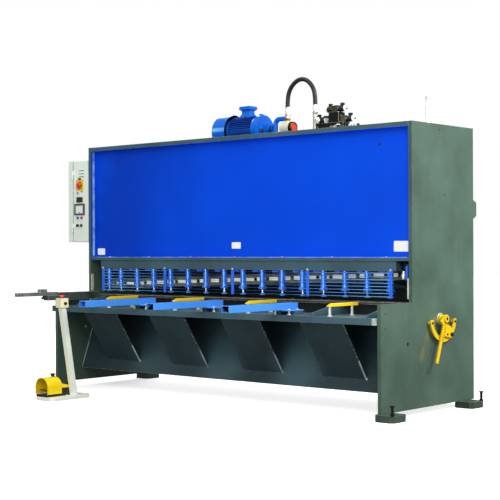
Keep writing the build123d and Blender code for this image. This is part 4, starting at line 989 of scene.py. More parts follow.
@dataclass
class Table(SubAssembly):
    """Table, bed, lower blade and the plates below the table."""

    def build(self, frame: dict) -> None:
        """Builds the pieces."""
        self.dress(frame, "table_top", Coat.TABLE, MACHINE, "table_steel", 0.003)
        self.dress(frame, "table_front_beam", Coat.SLATE, MACHINE, "beam_paint", 0.003)
        # Chute and aprons: darkened slate paint as painted shade, with painted highlights and pools of light.
        self.dress(frame, "chute_wall", Coat.APRON, MACHINE, "beam_paint", 0.002)
        self.dress(frame, "apron_plates", Coat.APRON, MACHINE, "beam_paint", 0.002)
        self.dress(frame, "table_gussets", Coat.SLATE, MACHINE, "beam_paint", 0.0015)
        # The bed is painted near-black as painted shade under the table.
        self.paint(frame, {"table_bed": Coat.HIDDEN, "lower_blade": Coat.BLADE, "throat_strips": Coat.ZINC})


@dataclass
class SheetSupports(SubAssembly):
    """Yellow rails, light blue arms and the squaring arm."""

    beam_top: float = 0.722
    arm_places: tuple[float, ...] = (-0.657, 0.103, 0.863)
    arm_rear: float = COVER - 0.262
    squaring_x: float = -1.600

    def build(self, frame: dict) -> None:
        """Builds the pieces."""
        self.dress(frame, "support_rails", Coat.RAIL, MACHINE, "yellow_paint", 0.004)
        self.dress(frame, "support_arms", Coat.ARM, MACHINE, "arm_paint", 0.003)
        self.dress(frame, "arm_brackets", Coat.SLATE, MACHINE, "beam_paint", 0.002)
        self.dress(frame, "squaring_arm", Coat.SQUARING, MACHINE, "beam_paint", 0.002)
        self.dress(frame, "squaring_scale_bar", Coat.SCALE, MACHINE, "scale_steel", 0.002)
        self.paint(frame, {"support_posts": Coat.ZINC})
        self.post_nuts(frame)
        self.arm_screws()
        self.squaring_details()

    def post_nuts(self, frame: dict) -> None:
        """Locks each post with a nut on the front beam."""
        places = []
        for x in (-1.060, -0.275, 0.510, 1.295, self.squaring_x):
            for inset in (0.062, 0.330):
                places.append((x, COVER - 0.054 - inset, self.beam_top))
        FastenerRow("post_nuts", places, UP, 0.0165, 0.010, Head.HEX, Coat.ZINC, None, 1.3).deliver(
            MACHINE, "zinc_steel")

    def arm_screws(self) -> None:
        """Bolts the arms down and hangs the bolt ends below their flanges."""
        flange = 0.810 - 0.050
        tops, stems = [], []
        for x in self.arm_places:
            for side in (-1, 1):
                for back in (0.040, 0.140):
                    tops.append((x + side * 0.066, self.arm_rear - back, flange))
                stems.append((x + side * 0.066, self.arm_rear - 0.140, flange - 0.008))
        FastenerRow("arm_screws", tops, UP, 0.011, 0.008, Head.HEX, Coat.ZINC, None, 1.35).deliver(
            MACHINE, "zinc_steel")
        piece = Workpiece("arm_jack_screws", Coat.ZINC)
        for x, y, z in stems:
            piece.turned([(0.0, 0.0), (0.007, 0.0), (0.007, z - self.beam_top), (0.0, z - self.beam_top)],
                         (x, y, self.beam_top), Axis.Z, 16)
            piece.turned([(0.0, 0.0), (0.0125, 0.0), (0.0125, 0.009), (0.0, 0.009)],
                         (x, y, self.beam_top), Axis.Z, 6)
        piece.deliver(MACHINE, "zinc_steel")

    def squaring_details(self) -> None:
        """Adds the slot strip, the graduations, the clamp knob and the stop's screws."""
        front = COVER - 0.050 - 0.570
        end = front - 0.324
        top = TABLE - 0.002
        piece = Workpiece("squaring_slot", Coat.BLACKED)
        piece.block((self.squaring_x - 0.006, front + 0.125, top + 0.0255), (self.squaring_x + 0.006, COVER - 0.055,
                    top + 0.0268), 0.0)
        piece.use(Coat.SCALE)
        piece.block((self.squaring_x + 0.013, front + 0.124, top + 0.0255), (self.squaring_x + 0.029, COVER - 0.055,
                    top + 0.0275), 0.0004)
        piece.deliver(MACHINE, "black_steel")
        marks = []
        for step in range(0, 44):
            marks.append((self.squaring_x + 0.021, front + 0.135 + step * 0.010, top + 0.0275))
        FastenerRow("squaring_marks", marks, UP, 0.0012, 0.0003, Head.HEX, Coat.BLACK).deliver(
            MACHINE, "black_steel")
        knob = Workpiece("stop_knob", Coat.BLACK)
        knob.turned([(0.0, -0.030), (0.014, -0.030), (0.017, -0.027), (0.017, -0.014), (0.013, -0.010),
                     (0.007, -0.008), (0.007, 0.0), (0.0, 0.0)], (self.squaring_x, front - 0.030, top), Axis.Z, 20)
        knob.use(Coat.BRASS)
        knob.turned([(0.0, 0.0), (0.006, 0.0), (0.006, 0.005), (0.0, 0.006)],
                    (self.squaring_x + 0.018, end + 0.055, top + 0.016), Axis.X, 6)
        knob.turned([(0.0, 0.0), (0.006, 0.0), (0.006, 0.005), (0.0, 0.006)],
                    (self.squaring_x + 0.018, front - 0.055, top + 0.042), Axis.X, 6)
        knob.deliver(MACHINE, "black_steel")


@dataclass
class FrontFace(SubAssembly):
    """Blue cover, top rail, tie plate and clamping beam."""

    face: float = COVER + 0.055

    def build(self, frame: dict) -> None:
        """Builds the pieces."""
        # The cover's paint carries painted shade and painted highlights.
        self.dress(frame, "front_cover", Coat.PANEL, MACHINE, "cover_paint", 0.0015)
        self.dress(frame, "top_rail", Coat.SLATE, MACHINE, "beam_paint", 0.003)
        self.dress(frame, "tie_plate", Coat.SLATE, MACHINE, "beam_paint", 0.002)
        self.dress(frame, "clamp_beam", Coat.SLATE, MACHINE, "beam_paint", 0.003)
        self.blank_plates()
        self.cover_plugs()
        self.feed_gear()

    def blank_plates(self) -> None:
        """Glues three blank plates on the cover."""
        piece = Workpiece("blank_plates", Coat.GLOWING_LABEL)
        # The first two plates glow a little as painted light.
        for x, z, width, height, coat in ((-1.640, 1.196, 0.096, 0.058, Coat.GLOWING_LABEL),
                                          (-0.004, 1.243, 0.098, 0.052, Coat.GLOWING_LABEL),
                                          (1.618, 1.228, 0.130, 0.078, Coat.WHITE)):
            piece.use(coat)
            piece.prism(rounded_plate(z, x, height, width, 0.006), Axis.Y, self.face - 0.0012, 0.0014, 0.0003)
        piece.deliver(MACHINE, "frame_paint")

    def cover_plugs(self) -> None:
        """Closes the two holes of the cover and screws down its lower edge."""
        places = [(side * 1.430, self.face, 1.985) for side in (-1, 1)]
        FastenerRow("cover_plugs", places, FORWARD, 0.0105, 0.002, Head.ROUND, Coat.BLACK).deliver(
            MACHINE, "valve_black")
        row = [(-1.5 + i * 0.5, COVER + 0.030, 1.145 + 0.004) for i in range(7)]
        FastenerRow("cover_screws", row, UP, 0.006, 0.004, Head.ROUND, Coat.ZINC).deliver(MACHINE, "zinc_steel")

    def feed_gear(self) -> None:
        """Adds the oil line, union and bracket in the gap right of the clamping beam."""
        piece = Workpiece("hold_down_feed", Coat.GUARD)
        piece.block((1.672, COVER + 0.030, 0.985), (1.690, COVER + 0.075, 1.085), 0.002)
        piece.use(Coat.CHROME)
        piece.turned([(0.0, 0.0), (0.020, 0.0), (0.022, 0.003), (0.022, 0.040), (0.016, 0.044), (0.016, 0.060),
                      (0.0, 0.060)], (1.645, COVER + 0.050, 0.985), Axis.Z, 24)
        piece.use(Coat.RUBBER)
        piece.pipe([(1.645, COVER + 0.050, 1.045), (1.645, COVER + 0.050, 1.070), (1.640, COVER + 0.052, 1.092),
                    (1.622, COVER + 0.056, 1.104), (1.598, COVER + 0.060, 1.106)], 0.007, 12)
        piece.use(Coat.ARM)
        piece.pipe([(1.690, COVER + 0.050, 1.080), (1.672, COVER + 0.050, 1.094), (1.650, COVER + 0.050, 1.100)],
                   0.005, 12)
        piece.deliver(MACHINE, "guard_paint")


@dataclass
class HoldDownRow(SubAssembly):
    """Hold down cylinders, their feet and the finger guard."""

    count: int = 16
    end: float = 1.525
    pitch: float = 0.207
    depth: float = COVER + 0.05
    top: float = 1.045
    bottom: float = 0.890
    foot: float = TABLE + 0.025
    bar_pitch: float = 0.780
    bar_width: float = 0.026
    rod_radius: float = 0.0032
    rod_pitch: float = 0.025

    def places(self) -> list[float]:
        """Places of the hold downs along the machine, closer at the left end."""
        return [self.end - i * self.pitch for i in range(self.count - 1)] + [-self.end]

    def build(self, frame: dict) -> None:
        """Builds the pieces."""
        self.cylinders()
        self.feet()
        self.guard()
        self.collar_screws()

    def cylinders(self) -> None:
        """Turns the painted cylinders, with grooves and a wide lower collar."""
        low, high = self.bottom, self.top
        profile = [(0.0105, low), (0.0305, low), (0.033, low + 0.0025), (0.033, low + 0.0225),
                   (0.031, low + 0.025), (0.0262, low + 0.0262), (0.0248, low + 0.031), (0.0248, low + 0.052),
                   (0.0232, low + 0.053), (0.0232, low + 0.056), (0.0248, low + 0.057), (0.0248, low + 0.098),
                   (0.0232, low + 0.099), (0.0232, low + 0.102), (0.0248, low + 0.103), (0.0248, high - 0.012),
                   (0.0275, high - 0.010), (0.0275, high), (0.0, high)]
        piece = Workpiece("hold_down_bodies", Coat.COLUMN)
        for x in self.places():
            piece.turned(profile, (x, self.depth, 0), sides=24)
        piece.use(Coat.GUARD)
        for x in self.places()[:-1]:
            low_corner = (x - 0.083, self.depth - 0.026, high - 0.017)
            piece.block(low_corner, (x - 0.027, self.depth + 0.004, high), 0.001)
        piece.use(Coat.ZINC)
        for x in self.places():
            piece.turned([(0, high - 0.030), (0.0085, high - 0.030), (0.0085, high - 0.022), (0.0055, high - 0.021),
                          (0.0055, high - 0.014), (0, high - 0.014)], (x, self.depth, 0), sides=6)
        piece.deliver(MACHINE, "guard_paint", ["hold_down_cylinders"])

    def feet(self) -> None:
        """Turns the bright stems with their flared painted feet."""
        low = self.foot
        stem = [(0.0, low + 0.015), (0.0098, low + 0.015), (0.0098, low + 0.134), (0.0, low + 0.135)]
        pad = [(0.0, low), (0.0225, low), (0.023, low + 0.001), (0.0226, low + 0.005), (0.0135, low + 0.0145),
               (0.0115, low + 0.017), (0.0, low + 0.017)]
        piece = Workpiece("hold_down_plungers", Coat.ARM)
        for x in self.places():
            piece.turned(pad, (x, self.depth, 0), sides=24)
        piece.use(Coat.CHROME)
        for x in self.places():
            piece.turned(stem, (x, self.depth, 0), sides=20)
        piece.deliver("hold_down_plungers", "guard_paint", ["hold_down_feet"])

    def guard(self) -> None:
        """Makes the five flat bars and the eight thin rods of the finger guard."""
        back = COVER + 0.010
        front = back - 0.010
        bottom = TABLE + 0.025
        top = 1.045 + 0.017
        half = self.bar_width / 2
        piece = Workpiece("finger_guard_bars", Coat.GUARD)
        for index in range(5):
            x = (index - 2) * self.bar_pitch
            outline = [(bottom, x - half + 0.004), (bottom, x + half - 0.004), (bottom + 0.004, x + half),
                       (top - 0.009, x + half), (top, x + half - 0.009), (top, x - half + 0.009),
                       (top - 0.009, x - half), (bottom + 0.004, x - half)]
            piece.prism(outline, Axis.Y, front, back - front, 0.0012)
        piece.use(Coat.ROD)
        reach = 2 * self.bar_pitch + 0.020
        for index in range(8):
            z = bottom + 0.011 + index * self.rod_pitch
            y = back - 0.005
            ends = [(-reach, y, z), (-reach + 0.004, y, z), (reach - 0.004, y, z), (reach, y, z)]
            piece.pipe(ends, self.rod_radius, 12)
        piece.deliver(MACHINE, "guard_paint", ["finger_guard"])
        heads = [((index - 2) * self.bar_pitch, front, top - 0.011) for index in range(5)]
        FastenerRow("guard_bar_screws", heads, FORWARD, 0.0085, 0.006, Head.ROUND, Coat.ZINC, Coat.BLACK).deliver(
            MACHINE, "zinc_steel")

    def collar_screws(self) -> None:
        """Sets two small screws in the front of each collar."""
        heads = []
        for x in self.places():
            heads += [(x - 0.017, self.depth - 0.027, self.bottom + 0.0125),
                      (x + 0.017, self.depth - 0.027, self.bottom + 0.0125)]
        FastenerRow("collar_screws", heads, FORWARD, 0.0042, 0.004, Head.ROUND, Coat.ZINC, Coat.BLACK).deliver(
            MACHINE, "zinc_steel")


@dataclass
class CuttingBeam(SubAssembly):
    """Swing beam with its blade, and the cylinders that push it."""

    body: str = "swing_beam"
    hole_pitch: float = 0.129
    rake: float = math.radians(2.05)
    line: float = TABLE + 0.142
    blade_front: float = -0.050

    def build(self, frame: dict) -> None:
        """Builds the pieces."""
        self.dress(frame, "upper_blade", Coat.BLADE, self.body, "blade_steel", 0.0012)
        self.dress(frame, "beam_top_web", Coat.SLATE, self.body, "beam_paint", 0.0015)
        self.dress(frame, "beam_tube", Coat.SLATE, self.body, "beam_paint", 0.0)
        # The beam's front plate is painted near-black as painted shade behind the guard.
        self.paint(frame, {"beam_front_plate": Coat.HIDDEN, "beam_ribs": Coat.SLATE,
                           "main_cylinders": Coat.GUARD, "cylinder_rods": Coat.CHROME})
        places = []
        for index in range(-12, 13):
            x = index * self.hole_pitch
            places.append((x, self.blade_front + 0.0005, self.line + x * math.tan(self.rake)))
        FastenerRow("blade_screws", places, FORWARD, 0.0105, 0.0012, Head.ROUND, Coat.BLACKED, Coat.BLACK).deliver(
            self.body, "black_steel")
        self.blade_land_reflections()
        self.cylinder_caps()

    def blade_land_reflections(self) -> None:
        """Lays thin glowing sheets over the ground lands between the blade's screws: a painted reflection on the steel.
        """
        piece = Workpiece("blade_land_reflections", Coat.SEGMENT)
        for index in range(-12, 12):
            x = (index + 0.5) * self.hole_pitch
            z = self.line + x * math.tan(self.rake)
            outline = [(z - 0.014, x - 0.046), (z - 0.014, x + 0.042), (z - 0.008, x + 0.046),
                       (z + 0.014, x + 0.046), (z + 0.014, x - 0.046)]
            piece.prism(outline, Axis.Y, self.blade_front - 0.0012, 0.0014, 0.0003)
        piece.deliver(self.body, "blade_steel")

    def cylinder_caps(self) -> None:
        """Turns gland nuts and hose ports for the two main cylinders."""
        low = 1.330
        for side, name in ((-1, "left"), (1, "right")):
            x, y = side * 1.650, COVER + 0.180
            piece = Workpiece(f"{name}_cylinder_gland", Coat.ZINC)
            piece.turned([(0.0452, low + 0.004), (0.052, low + 0.004), (0.054, low + 0.006), (0.054, low + 0.028),
                          (0.052, low + 0.030), (0.0452, low + 0.030)], (x, y, 0), sides=40)
            port = (x, y + 0.040, low + 0.075)
            piece.turned([(0.0, 0.0), (0.016, 0.0), (0.016, 0.014), (0.011, 0.016), (0.011, 0.034), (0.0, 0.034)],
                         port, Axis.Y, 6)
            piece.deliver(MACHINE, "zinc_steel")


@dataclass
class PowerUnit(SubAssembly):
    """Oil tank with motor, pump, filter, hose and valves on top."""

    axis_y: float = COVER + 0.36
    axis_z: float = 2.205
    tank_top: float = 2.045
    fan_left: float = -0.440
    fan_right: float = -0.285
    flange_left: float = -0.010
    fan_radius: float = 0.145
    shield_radius: float = 0.122
    shield_depth: float = 0.055
    body_radius: float = 0.103
    fin_reach: float = 0.022
    fin_count: int = 40
    box_x: float = -0.137
    box_top: float = 2.411
    filter_left: float = 0.228
    filter_right: float = 0.365
    hose_left: float = 0.294
    hose_right: float = 0.582
    hose_start: float = 2.372
    hose_diameter: float = 0.036
    arch_rise: float = 0.222

    def build(self, frame: dict) -> None:
        """Builds the pieces."""
        self.dress(frame, "oil_tank", Coat.SLATE, MACHINE, "beam_paint", 0.003)
        self.paint(frame, {"pump_unit": Coat.MOTOR, "suction_pipe": Coat.MOTOR, "tank_fittings": Coat.CHROME})
        self.fan_cover()
        self.motor()
        self.pump_details()
        self.filter()
        self.hose()
        self.hose_fittings()
        self.valves(frame)
        self.upright_pipe()
        self.bolts()

    def upright_pipe(self) -> None:
        """Sleeves the pipe at the right end in white, with a nut at its foot."""
        piece = Workpiece("upright_pipe_sleeve", Coat.WHITE)
        radius, top = 0.0168, 2.345
        piece.turned([(0.016, self.tank_top + 0.030), (radius, self.tank_top + 0.030), (radius, top - 0.030),
                      (0.016, top - 0.030), (0.016, self.tank_top + 0.030)], (1.650, self.axis_y, 0.0), Axis.Z, 24)
        piece.use(Coat.ZINC)
        piece.turned([(0.016, self.tank_top), (0.026, self.tank_top), (0.027, self.tank_top + 0.002),
                      (0.027, self.tank_top + 0.022), (0.016, self.tank_top + 0.024), (0.016, self.tank_top)],
                     (1.650, self.axis_y, 0.0), Axis.Z, 6)
        piece.deliver(MACHINE, "fitting_chrome")

    def _on_axis(self, x: float) -> Point:
        """Gives a point on the motor's axis."""
        return (x, self.axis_y, self.axis_z)

    def fan_cover(self) -> None:
        """Presses the fan cover with its rounded rim, grille rings, spokes and a black disc inside, and screws it on.
        """
        left, right, radius = self.fan_left, self.fan_right, self.fan_radius
        wall = 0.003
        profile = [(radius - wall, right), (radius, right), (radius, left + 0.030), (radius - 0.003, left + 0.016),
                   (radius - 0.010, left + 0.006), (radius - 0.022, left + 0.001), (radius - 0.034, left),
                   (radius - 0.034, left + wall), (radius - 0.022, left + wall), (radius - 0.012, left + 0.010),
                   (radius - wall, left + 0.030), (radius - wall, right)]
        piece = Workpiece("fan_cover", Coat.MOTOR)
        piece.turned(profile, self._on_axis(0.0), Axis.X, 64)
        for ring in (0.026, 0.044, 0.062, 0.080, 0.098):
            rim = [(ring - 0.0022, left + 0.0005), (ring + 0.0022, left + 0.0005), (ring + 0.0022, left + 0.004),
                   (ring - 0.0022, left + 0.004), (ring - 0.0022, left + 0.0005)]
            piece.turned(rim, self._on_axis(0.0), Axis.X, 48)
        piece.turned([(0.0, left - 0.0005), (0.014, left - 0.0005), (0.016, left + 0.004), (0.0, left + 0.004)],
                     self._on_axis(0.0), Axis.X, 32)
        for spoke in range(6):
            turn = math.radians(60 * spoke + 15)
            across, up = math.cos(turn), math.sin(turn)
            start = Vector(self._on_axis(left + 0.003)) + Axis.X.place(0.012 * across, 0.012 * up, 0)
            end = Vector(self._on_axis(left + 0.003)) + Axis.X.place(0.114 * across, 0.114 * up, 0)
            piece.pipe([tuple(start), tuple(end)], 0.0026, 8)
        piece.use(Coat.BLACK)
        piece.turned([(0.0, left + 0.020), (radius - 0.006, left + 0.020), (radius - 0.006, left + 0.022),
                      (0.0, left + 0.022)], self._on_axis(0.0), Axis.X, 48)
        piece.deliver(MACHINE, "motor_paint", ["motor_fan_cover"])
        heads = []
        for turn in (45, 135, 225, 315):
            angle = math.radians(turn)
            rim = radius * 0.9995
            heads.append((right - 0.014, self.axis_y + rim * math.cos(angle), self.axis_z + rim * math.sin(angle)))
        for index, place in enumerate(heads):
            turn = (Vector(place) - Vector((place[0], self.axis_y, self.axis_z))).to_track_quat("Z", "X").to_euler()
            FastenerRow(f"fan_cover_screw_{index + 1}", [place], tuple(turn), 0.0055, 0.0035, Head.ROUND,
                        Coat.ZINC, Coat.BLACK).deliver(MACHINE, "zinc_steel")

    def motor(self) -> None:
        """Makes the finned motor body with its end shields, flange, feet and terminal box."""
        left, right = self.fan_right, self.flange_left
        radius, shield = self.body_radius, self.shield_radius
        face = right + self.shield_depth
        piece = Workpiece("motor_housing", Coat.MOTOR)
        piece.turned([(0.0, left), (radius + 0.010, left), (radius + 0.010, left + 0.014), (radius, left + 0.020),
                      (radius, right), (0.0, right)], self._on_axis(0.0), Axis.X, 64)
        piece.turned([(0.0, right - 0.002), (shield - 0.006, right - 0.002), (shield - 0.001, right + 0.004),
                      (shield - 0.001, right + 0.020), (shield - 0.006, right + 0.026), (shield - 0.006, right + 0.036),
                      (shield - 0.012, face - 0.006), (shield - 0.022, face - 0.001), (shield - 0.036, face),
                      (shield - 0.040, face - 0.010), (0.062, face - 0.010), (0.058, face), (0.046, face + 0.004),
                      (0.030, face + 0.004), (0.028, face - 0.004), (0.0, face - 0.004)],
                     self._on_axis(0.0), Axis.X, 64)
        for index in range(8):
            turn = math.radians(22.5 + 45 * index)
            across, up = math.cos(turn), math.sin(turn)
            start = Vector(self._on_axis(face - 0.006)) + Axis.X.place(0.050 * across, 0.050 * up, 0)
            end = Vector(self._on_axis(face - 0.006)) + Axis.X.place(0.086 * across, 0.086 * up, 0)
            piece.pipe([tuple(start), tuple(end)], 0.0055, 10)
        # A thin dark ring on the floor of the shield's recess, as painted shade.
        piece.use(Coat.SHADED_MOTOR_PAINT)
        piece.turned([(0.061, face - 0.0104), (shield - 0.0395, face - 0.0104), (shield - 0.0395, face - 0.0090),
                      (0.061, face - 0.0090), (0.061, face - 0.0104)], self._on_axis(0.0), Axis.X, 48)
        piece.use(Coat.MOTOR)
        for turn in (50, 130, 230, 310):
            angle = math.radians(turn)
            ear = Vector(self._on_axis(right + 0.002)) + Axis.X.place((shield - 0.012) * math.cos(angle),
                                                                      (shield - 0.012) * math.sin(angle), 0)
            piece.turned([(0.0, 0.0), (0.015, 0.0), (0.016, 0.002), (0.016, 0.022), (0.014, 0.024), (0.0, 0.024)],
                         tuple(ear), Axis.X, 20)
        self._terminal_box(piece)
        self._feet(piece)
        piece.turned([(0.010, 0.0), (0.010, 0.004), (0.018, 0.006), (0.020, 0.014), (0.018, 0.022), (0.0, 0.024)],
                     (self.flange_left + 0.020, self.axis_y, self.axis_z + shield - 0.010), Axis.Z, 16)
        piece.deliver(MACHINE, "motor_paint", ["motor_body"])
        self._fins()

    def _terminal_box(self, piece: Workpiece) -> None:
        """Sets the flared terminal box with its lid on the motor."""
        x, y = self.box_x, self.axis_y
        seat = self.axis_z + self.body_radius - 0.012
        lid = self.box_top - 0.026
        piece.use(Coat.MOTOR)
        rings = ((0.059, 0.052, seat), (0.057, 0.050, seat + 0.028), (0.040, 0.037, seat + 0.052),
                 (0.039, 0.036, lid - 0.014), (0.052, 0.046, lid))
        corners = []
        for wide, deep, z in rings:
            corners.append([piece.mesh.verts.new((x + sx * wide, y + sy * deep, z))
                            for sx, sy in ((-1, -1), (1, -1), (1, 1), (-1, 1))])
        faces = [piece.mesh.faces.new(corners[0][::-1]), piece.mesh.faces.new(corners[-1])]
        for low, high in zip(corners, corners[1:]):
            faces += [piece.mesh.faces.new([low[i], low[(i + 1) % 4], high[(i + 1) % 4], high[i]]) for i in range(4)]
        for face in faces:
            face.material_index = piece.index
        bmesh.ops.recalc_face_normals(piece.mesh, faces=faces)
        piece.block((x - 0.059, y - 0.052, lid), (x + 0.059, y + 0.052, lid + 0.012), 0.003)
        piece.block((x - 0.056, y - 0.049, lid + 0.011), (x + 0.056, y + 0.049, self.box_top), 0.005)
        piece.use(Coat.BLACK)
        piece.turned([(0.0, 0.0), (0.013, 0.0), (0.013, 0.012), (0.009, 0.014), (0.009, 0.024), (0.0, 0.024)],
                     (x + 0.010, y - 0.056, seat + 0.016), Axis.Y, 6)
        piece.use(Coat.MOTOR)

    def _feet(self, piece: Workpiece) -> None:
        """Adds the two cast feet between motor and tank."""
        for x in (-0.235, -0.065):
            for side in (-1, 1):
                outline = [(0.040, 0.0), (0.120, 0.0), (0.120, 0.012), (0.092, 0.016), (0.078, 0.060), (0.058, 0.075)]
                points = [(self.axis_y + side * out, self.tank_top + up) for out, up in outline]
                piece.prism(points, Axis.X, x - 0.020, 0.040, 0.002)

    def _fins(self) -> None:
        """Stands the cooling fins around the body, repeated by Geometry Nodes."""
        start = self._on_axis(self.fan_right + 0.016)
        length = self.flange_left - self.fan_right - 0.018
        # The fins wear the darkened motor paint: painted shade between them.
        fin = RingOfFins("motor_fins", start, length, self.body_radius - 0.002, self.fin_reach, 0.0036,
                         self.fin_count, Coat.SHADED_MOTOR_PAINT)
        fin.deliver(MACHINE, "motor_paint")

    def pump_details(self) -> None:
        """Adds the pump's cover plate, a brass disc and the short brass union beside it."""
        end = self.flange_left + 0.095
        piece = Workpiece("pump_cover", Coat.BLACKED)
        piece.turned([(0.0, end + 0.030), (0.0305, end + 0.030), (0.0315, end + 0.032), (0.0315, end + 0.044),
                      (0.029, end + 0.047), (0.0, end + 0.047)], self._on_axis(0.0), Axis.X, 32)
        piece.use(Coat.BRASS)
        piece.turned([(0.0, end - 0.001), (0.026, end - 0.001), (0.027, end + 0.001), (0.027, end + 0.006),
                      (0.018, end + 0.008), (0.0, end + 0.008)], self._on_axis(0.0), Axis.X, 28)
        piece.turned([(0.0, 0.0), (0.012, 0.0), (0.012, 0.010), (0.008, 0.012), (0.008, 0.020), (0.0, 0.020)],
                     (end - 0.018, self.axis_y - 0.066, self.axis_z - 0.004), Axis.Y, 6)
        piece.deliver(MACHINE, "motor_paint")

    def filter(self) -> None:
        """Turns the filter canister with rolled rims and its red end disc."""
        left, right = self.filter_left, self.filter_right
        piece = Workpiece("filter_canister", Coat.CANISTER)
        piece.turned([(0.0, left), (0.030, left), (0.036, left + 0.003), (0.046, left + 0.010), (0.048, left + 0.018),
                      (0.048, left + 0.034), (0.0466, left + 0.037), (0.048, left + 0.040), (0.048, right - 0.034),
                      (0.0455, right - 0.032), (0.0, right - 0.030)], self._on_axis(0.0), Axis.X, 48)
        middle = (left + right) / 2
        piece.block((middle - 0.035, self.axis_y - 0.030, self.tank_top),
                    (middle + 0.035, self.axis_y + 0.030, self.axis_z - 0.040), 0.002)
        piece.turned([(0.0, self.axis_z + 0.030), (0.025, self.axis_z + 0.030), (0.025, self.axis_z + 0.054),
                      (0.023, self.axis_z + 0.056), (0.0, self.axis_z + 0.056)],
                     (self.hose_left, self.axis_y, 0.0), Axis.Z, 28)
        piece.use(Coat.BLACKED)
        piece.turned([(0.034, right - 0.034), (0.0462, right - 0.034), (0.0478, right - 0.030),
                      (0.0478, right - 0.012), (0.0455, right - 0.009), (0.034, right - 0.009),
                      (0.034, right - 0.034)], self._on_axis(0.0), Axis.X, 48)
        piece.use(Coat.BRASS)
        piece.turned([(0.034, right - 0.012), (0.0435, right - 0.012), (0.0445, right - 0.008), (0.043, right - 0.001),
                      (0.038, right), (0.034, right - 0.004), (0.034, right - 0.012)],
                     self._on_axis(0.0), Axis.X, 40)
        for index in range(6):
            turn = math.radians(30 + 60 * index)
            spot = Vector(self._on_axis(right - 0.010)) + Axis.X.place(0.0395 * math.cos(turn),
                                                                       0.0395 * math.sin(turn), 0)
            piece.turned([(0.0, 0.0), (0.0042, 0.0), (0.0042, 0.0095), (0.0, 0.0095)], tuple(spot), Axis.X, 6)
        piece.use(Coat.RED)
        piece.turned([(0.0, right - 0.014), (0.034, right - 0.014), (0.034, right - 0.008), (0.030, right - 0.005),
                      (0.012, right - 0.005), (0.010, right - 0.003), (0.0, right - 0.003)],
                     self._on_axis(0.0), Axis.X, 40)
        piece.deliver(MACHINE, "filter_paint", ["oil_filter"])

    def hose(self) -> None:
        """Return hose as one smooth curve from the left fitting to the right one."""
        half = (self.hose_right - self.hose_left) / 2
        middle = (self.hose_right + self.hose_left) / 2
        rises = ((-1.0, 0.0), (-1.0, 0.33), (-0.83, 0.67), (-0.42, 0.92), (0.02, 1.0),
                 (0.45, 0.92), (0.85, 0.65), (1.0, 0.32), (1.0, 0.0))
        curve = bpy.data.curves.new("return_hose", "CURVE")
        curve.dimensions = "3D"
        curve.bevel_depth = self.hose_diameter / 2
        curve.bevel_resolution = 8
        curve.use_fill_caps = True
        spline = curve.splines.new("NURBS")
        spline.points.add(len(rises) - 1)
        for point, (share, rise) in zip(spline.points, rises):
            point.co = (middle + share * half, self.axis_y, self.hose_start + self.arch_rise * rise, 1.0)
        spline.order_u = 3
        spline.use_endpoint_u = True
        spline.resolution_u = 12
        curve.materials.append(Coat.RUBBER.material)
        item = bpy.data.objects.new("return_hose", curve)
        bpy.context.scene.collection.objects.link(item)
        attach(item, MACHINE)
        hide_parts("hydraulic_hose")

    def hose_fittings(self) -> None:
        """Turns the crimped ferrules, hexagons and standpipes at both hose ends."""
        for name, x, foot, coat in (("left", self.hose_left, self.axis_z + 0.056, Coat.BRASS),
                                    ("right", self.hose_right, self.tank_top, Coat.ZINC)):
            top = self.hose_start
            crimp = [(0.0, top - 0.052), (0.0205, top - 0.052)]
            for groove in range(5):
                z = top - 0.050 + groove * 0.010
                crimp += [(0.0212, z), (0.0212, z + 0.007), (0.0198, z + 0.0085)]
            crimp += [(0.0205, top), (0.0, top)]
            piece = Workpiece(f"{name}_hose_fitting", Coat.WHITE)
            piece.turned(crimp, (x, self.axis_y, 0), sides=32)
            piece.use(Coat.CHROME)
            piece.turned([(0.0, top - 0.078), (0.0225, top - 0.078), (0.0238, top - 0.076), (0.0238, top - 0.056),
                          (0.0225, top - 0.054), (0.0, top - 0.054)], (x, self.axis_y, 0), sides=6)
            piece.turned([(0.0, foot), (0.0165, foot), (0.0165, top - 0.076), (0.0, top - 0.076)],
                         (x, self.axis_y, 0), sides=28)
            piece.use(coat)
            piece.turned([(0.0, foot), (0.0235, foot), (0.0245, foot + 0.002), (0.0245, foot + 0.020),
                          (0.0235, foot + 0.022), (0.0, foot + 0.022)], (x, self.axis_y, 0), sides=6)
            piece.deliver(MACHINE, "fitting_chrome")

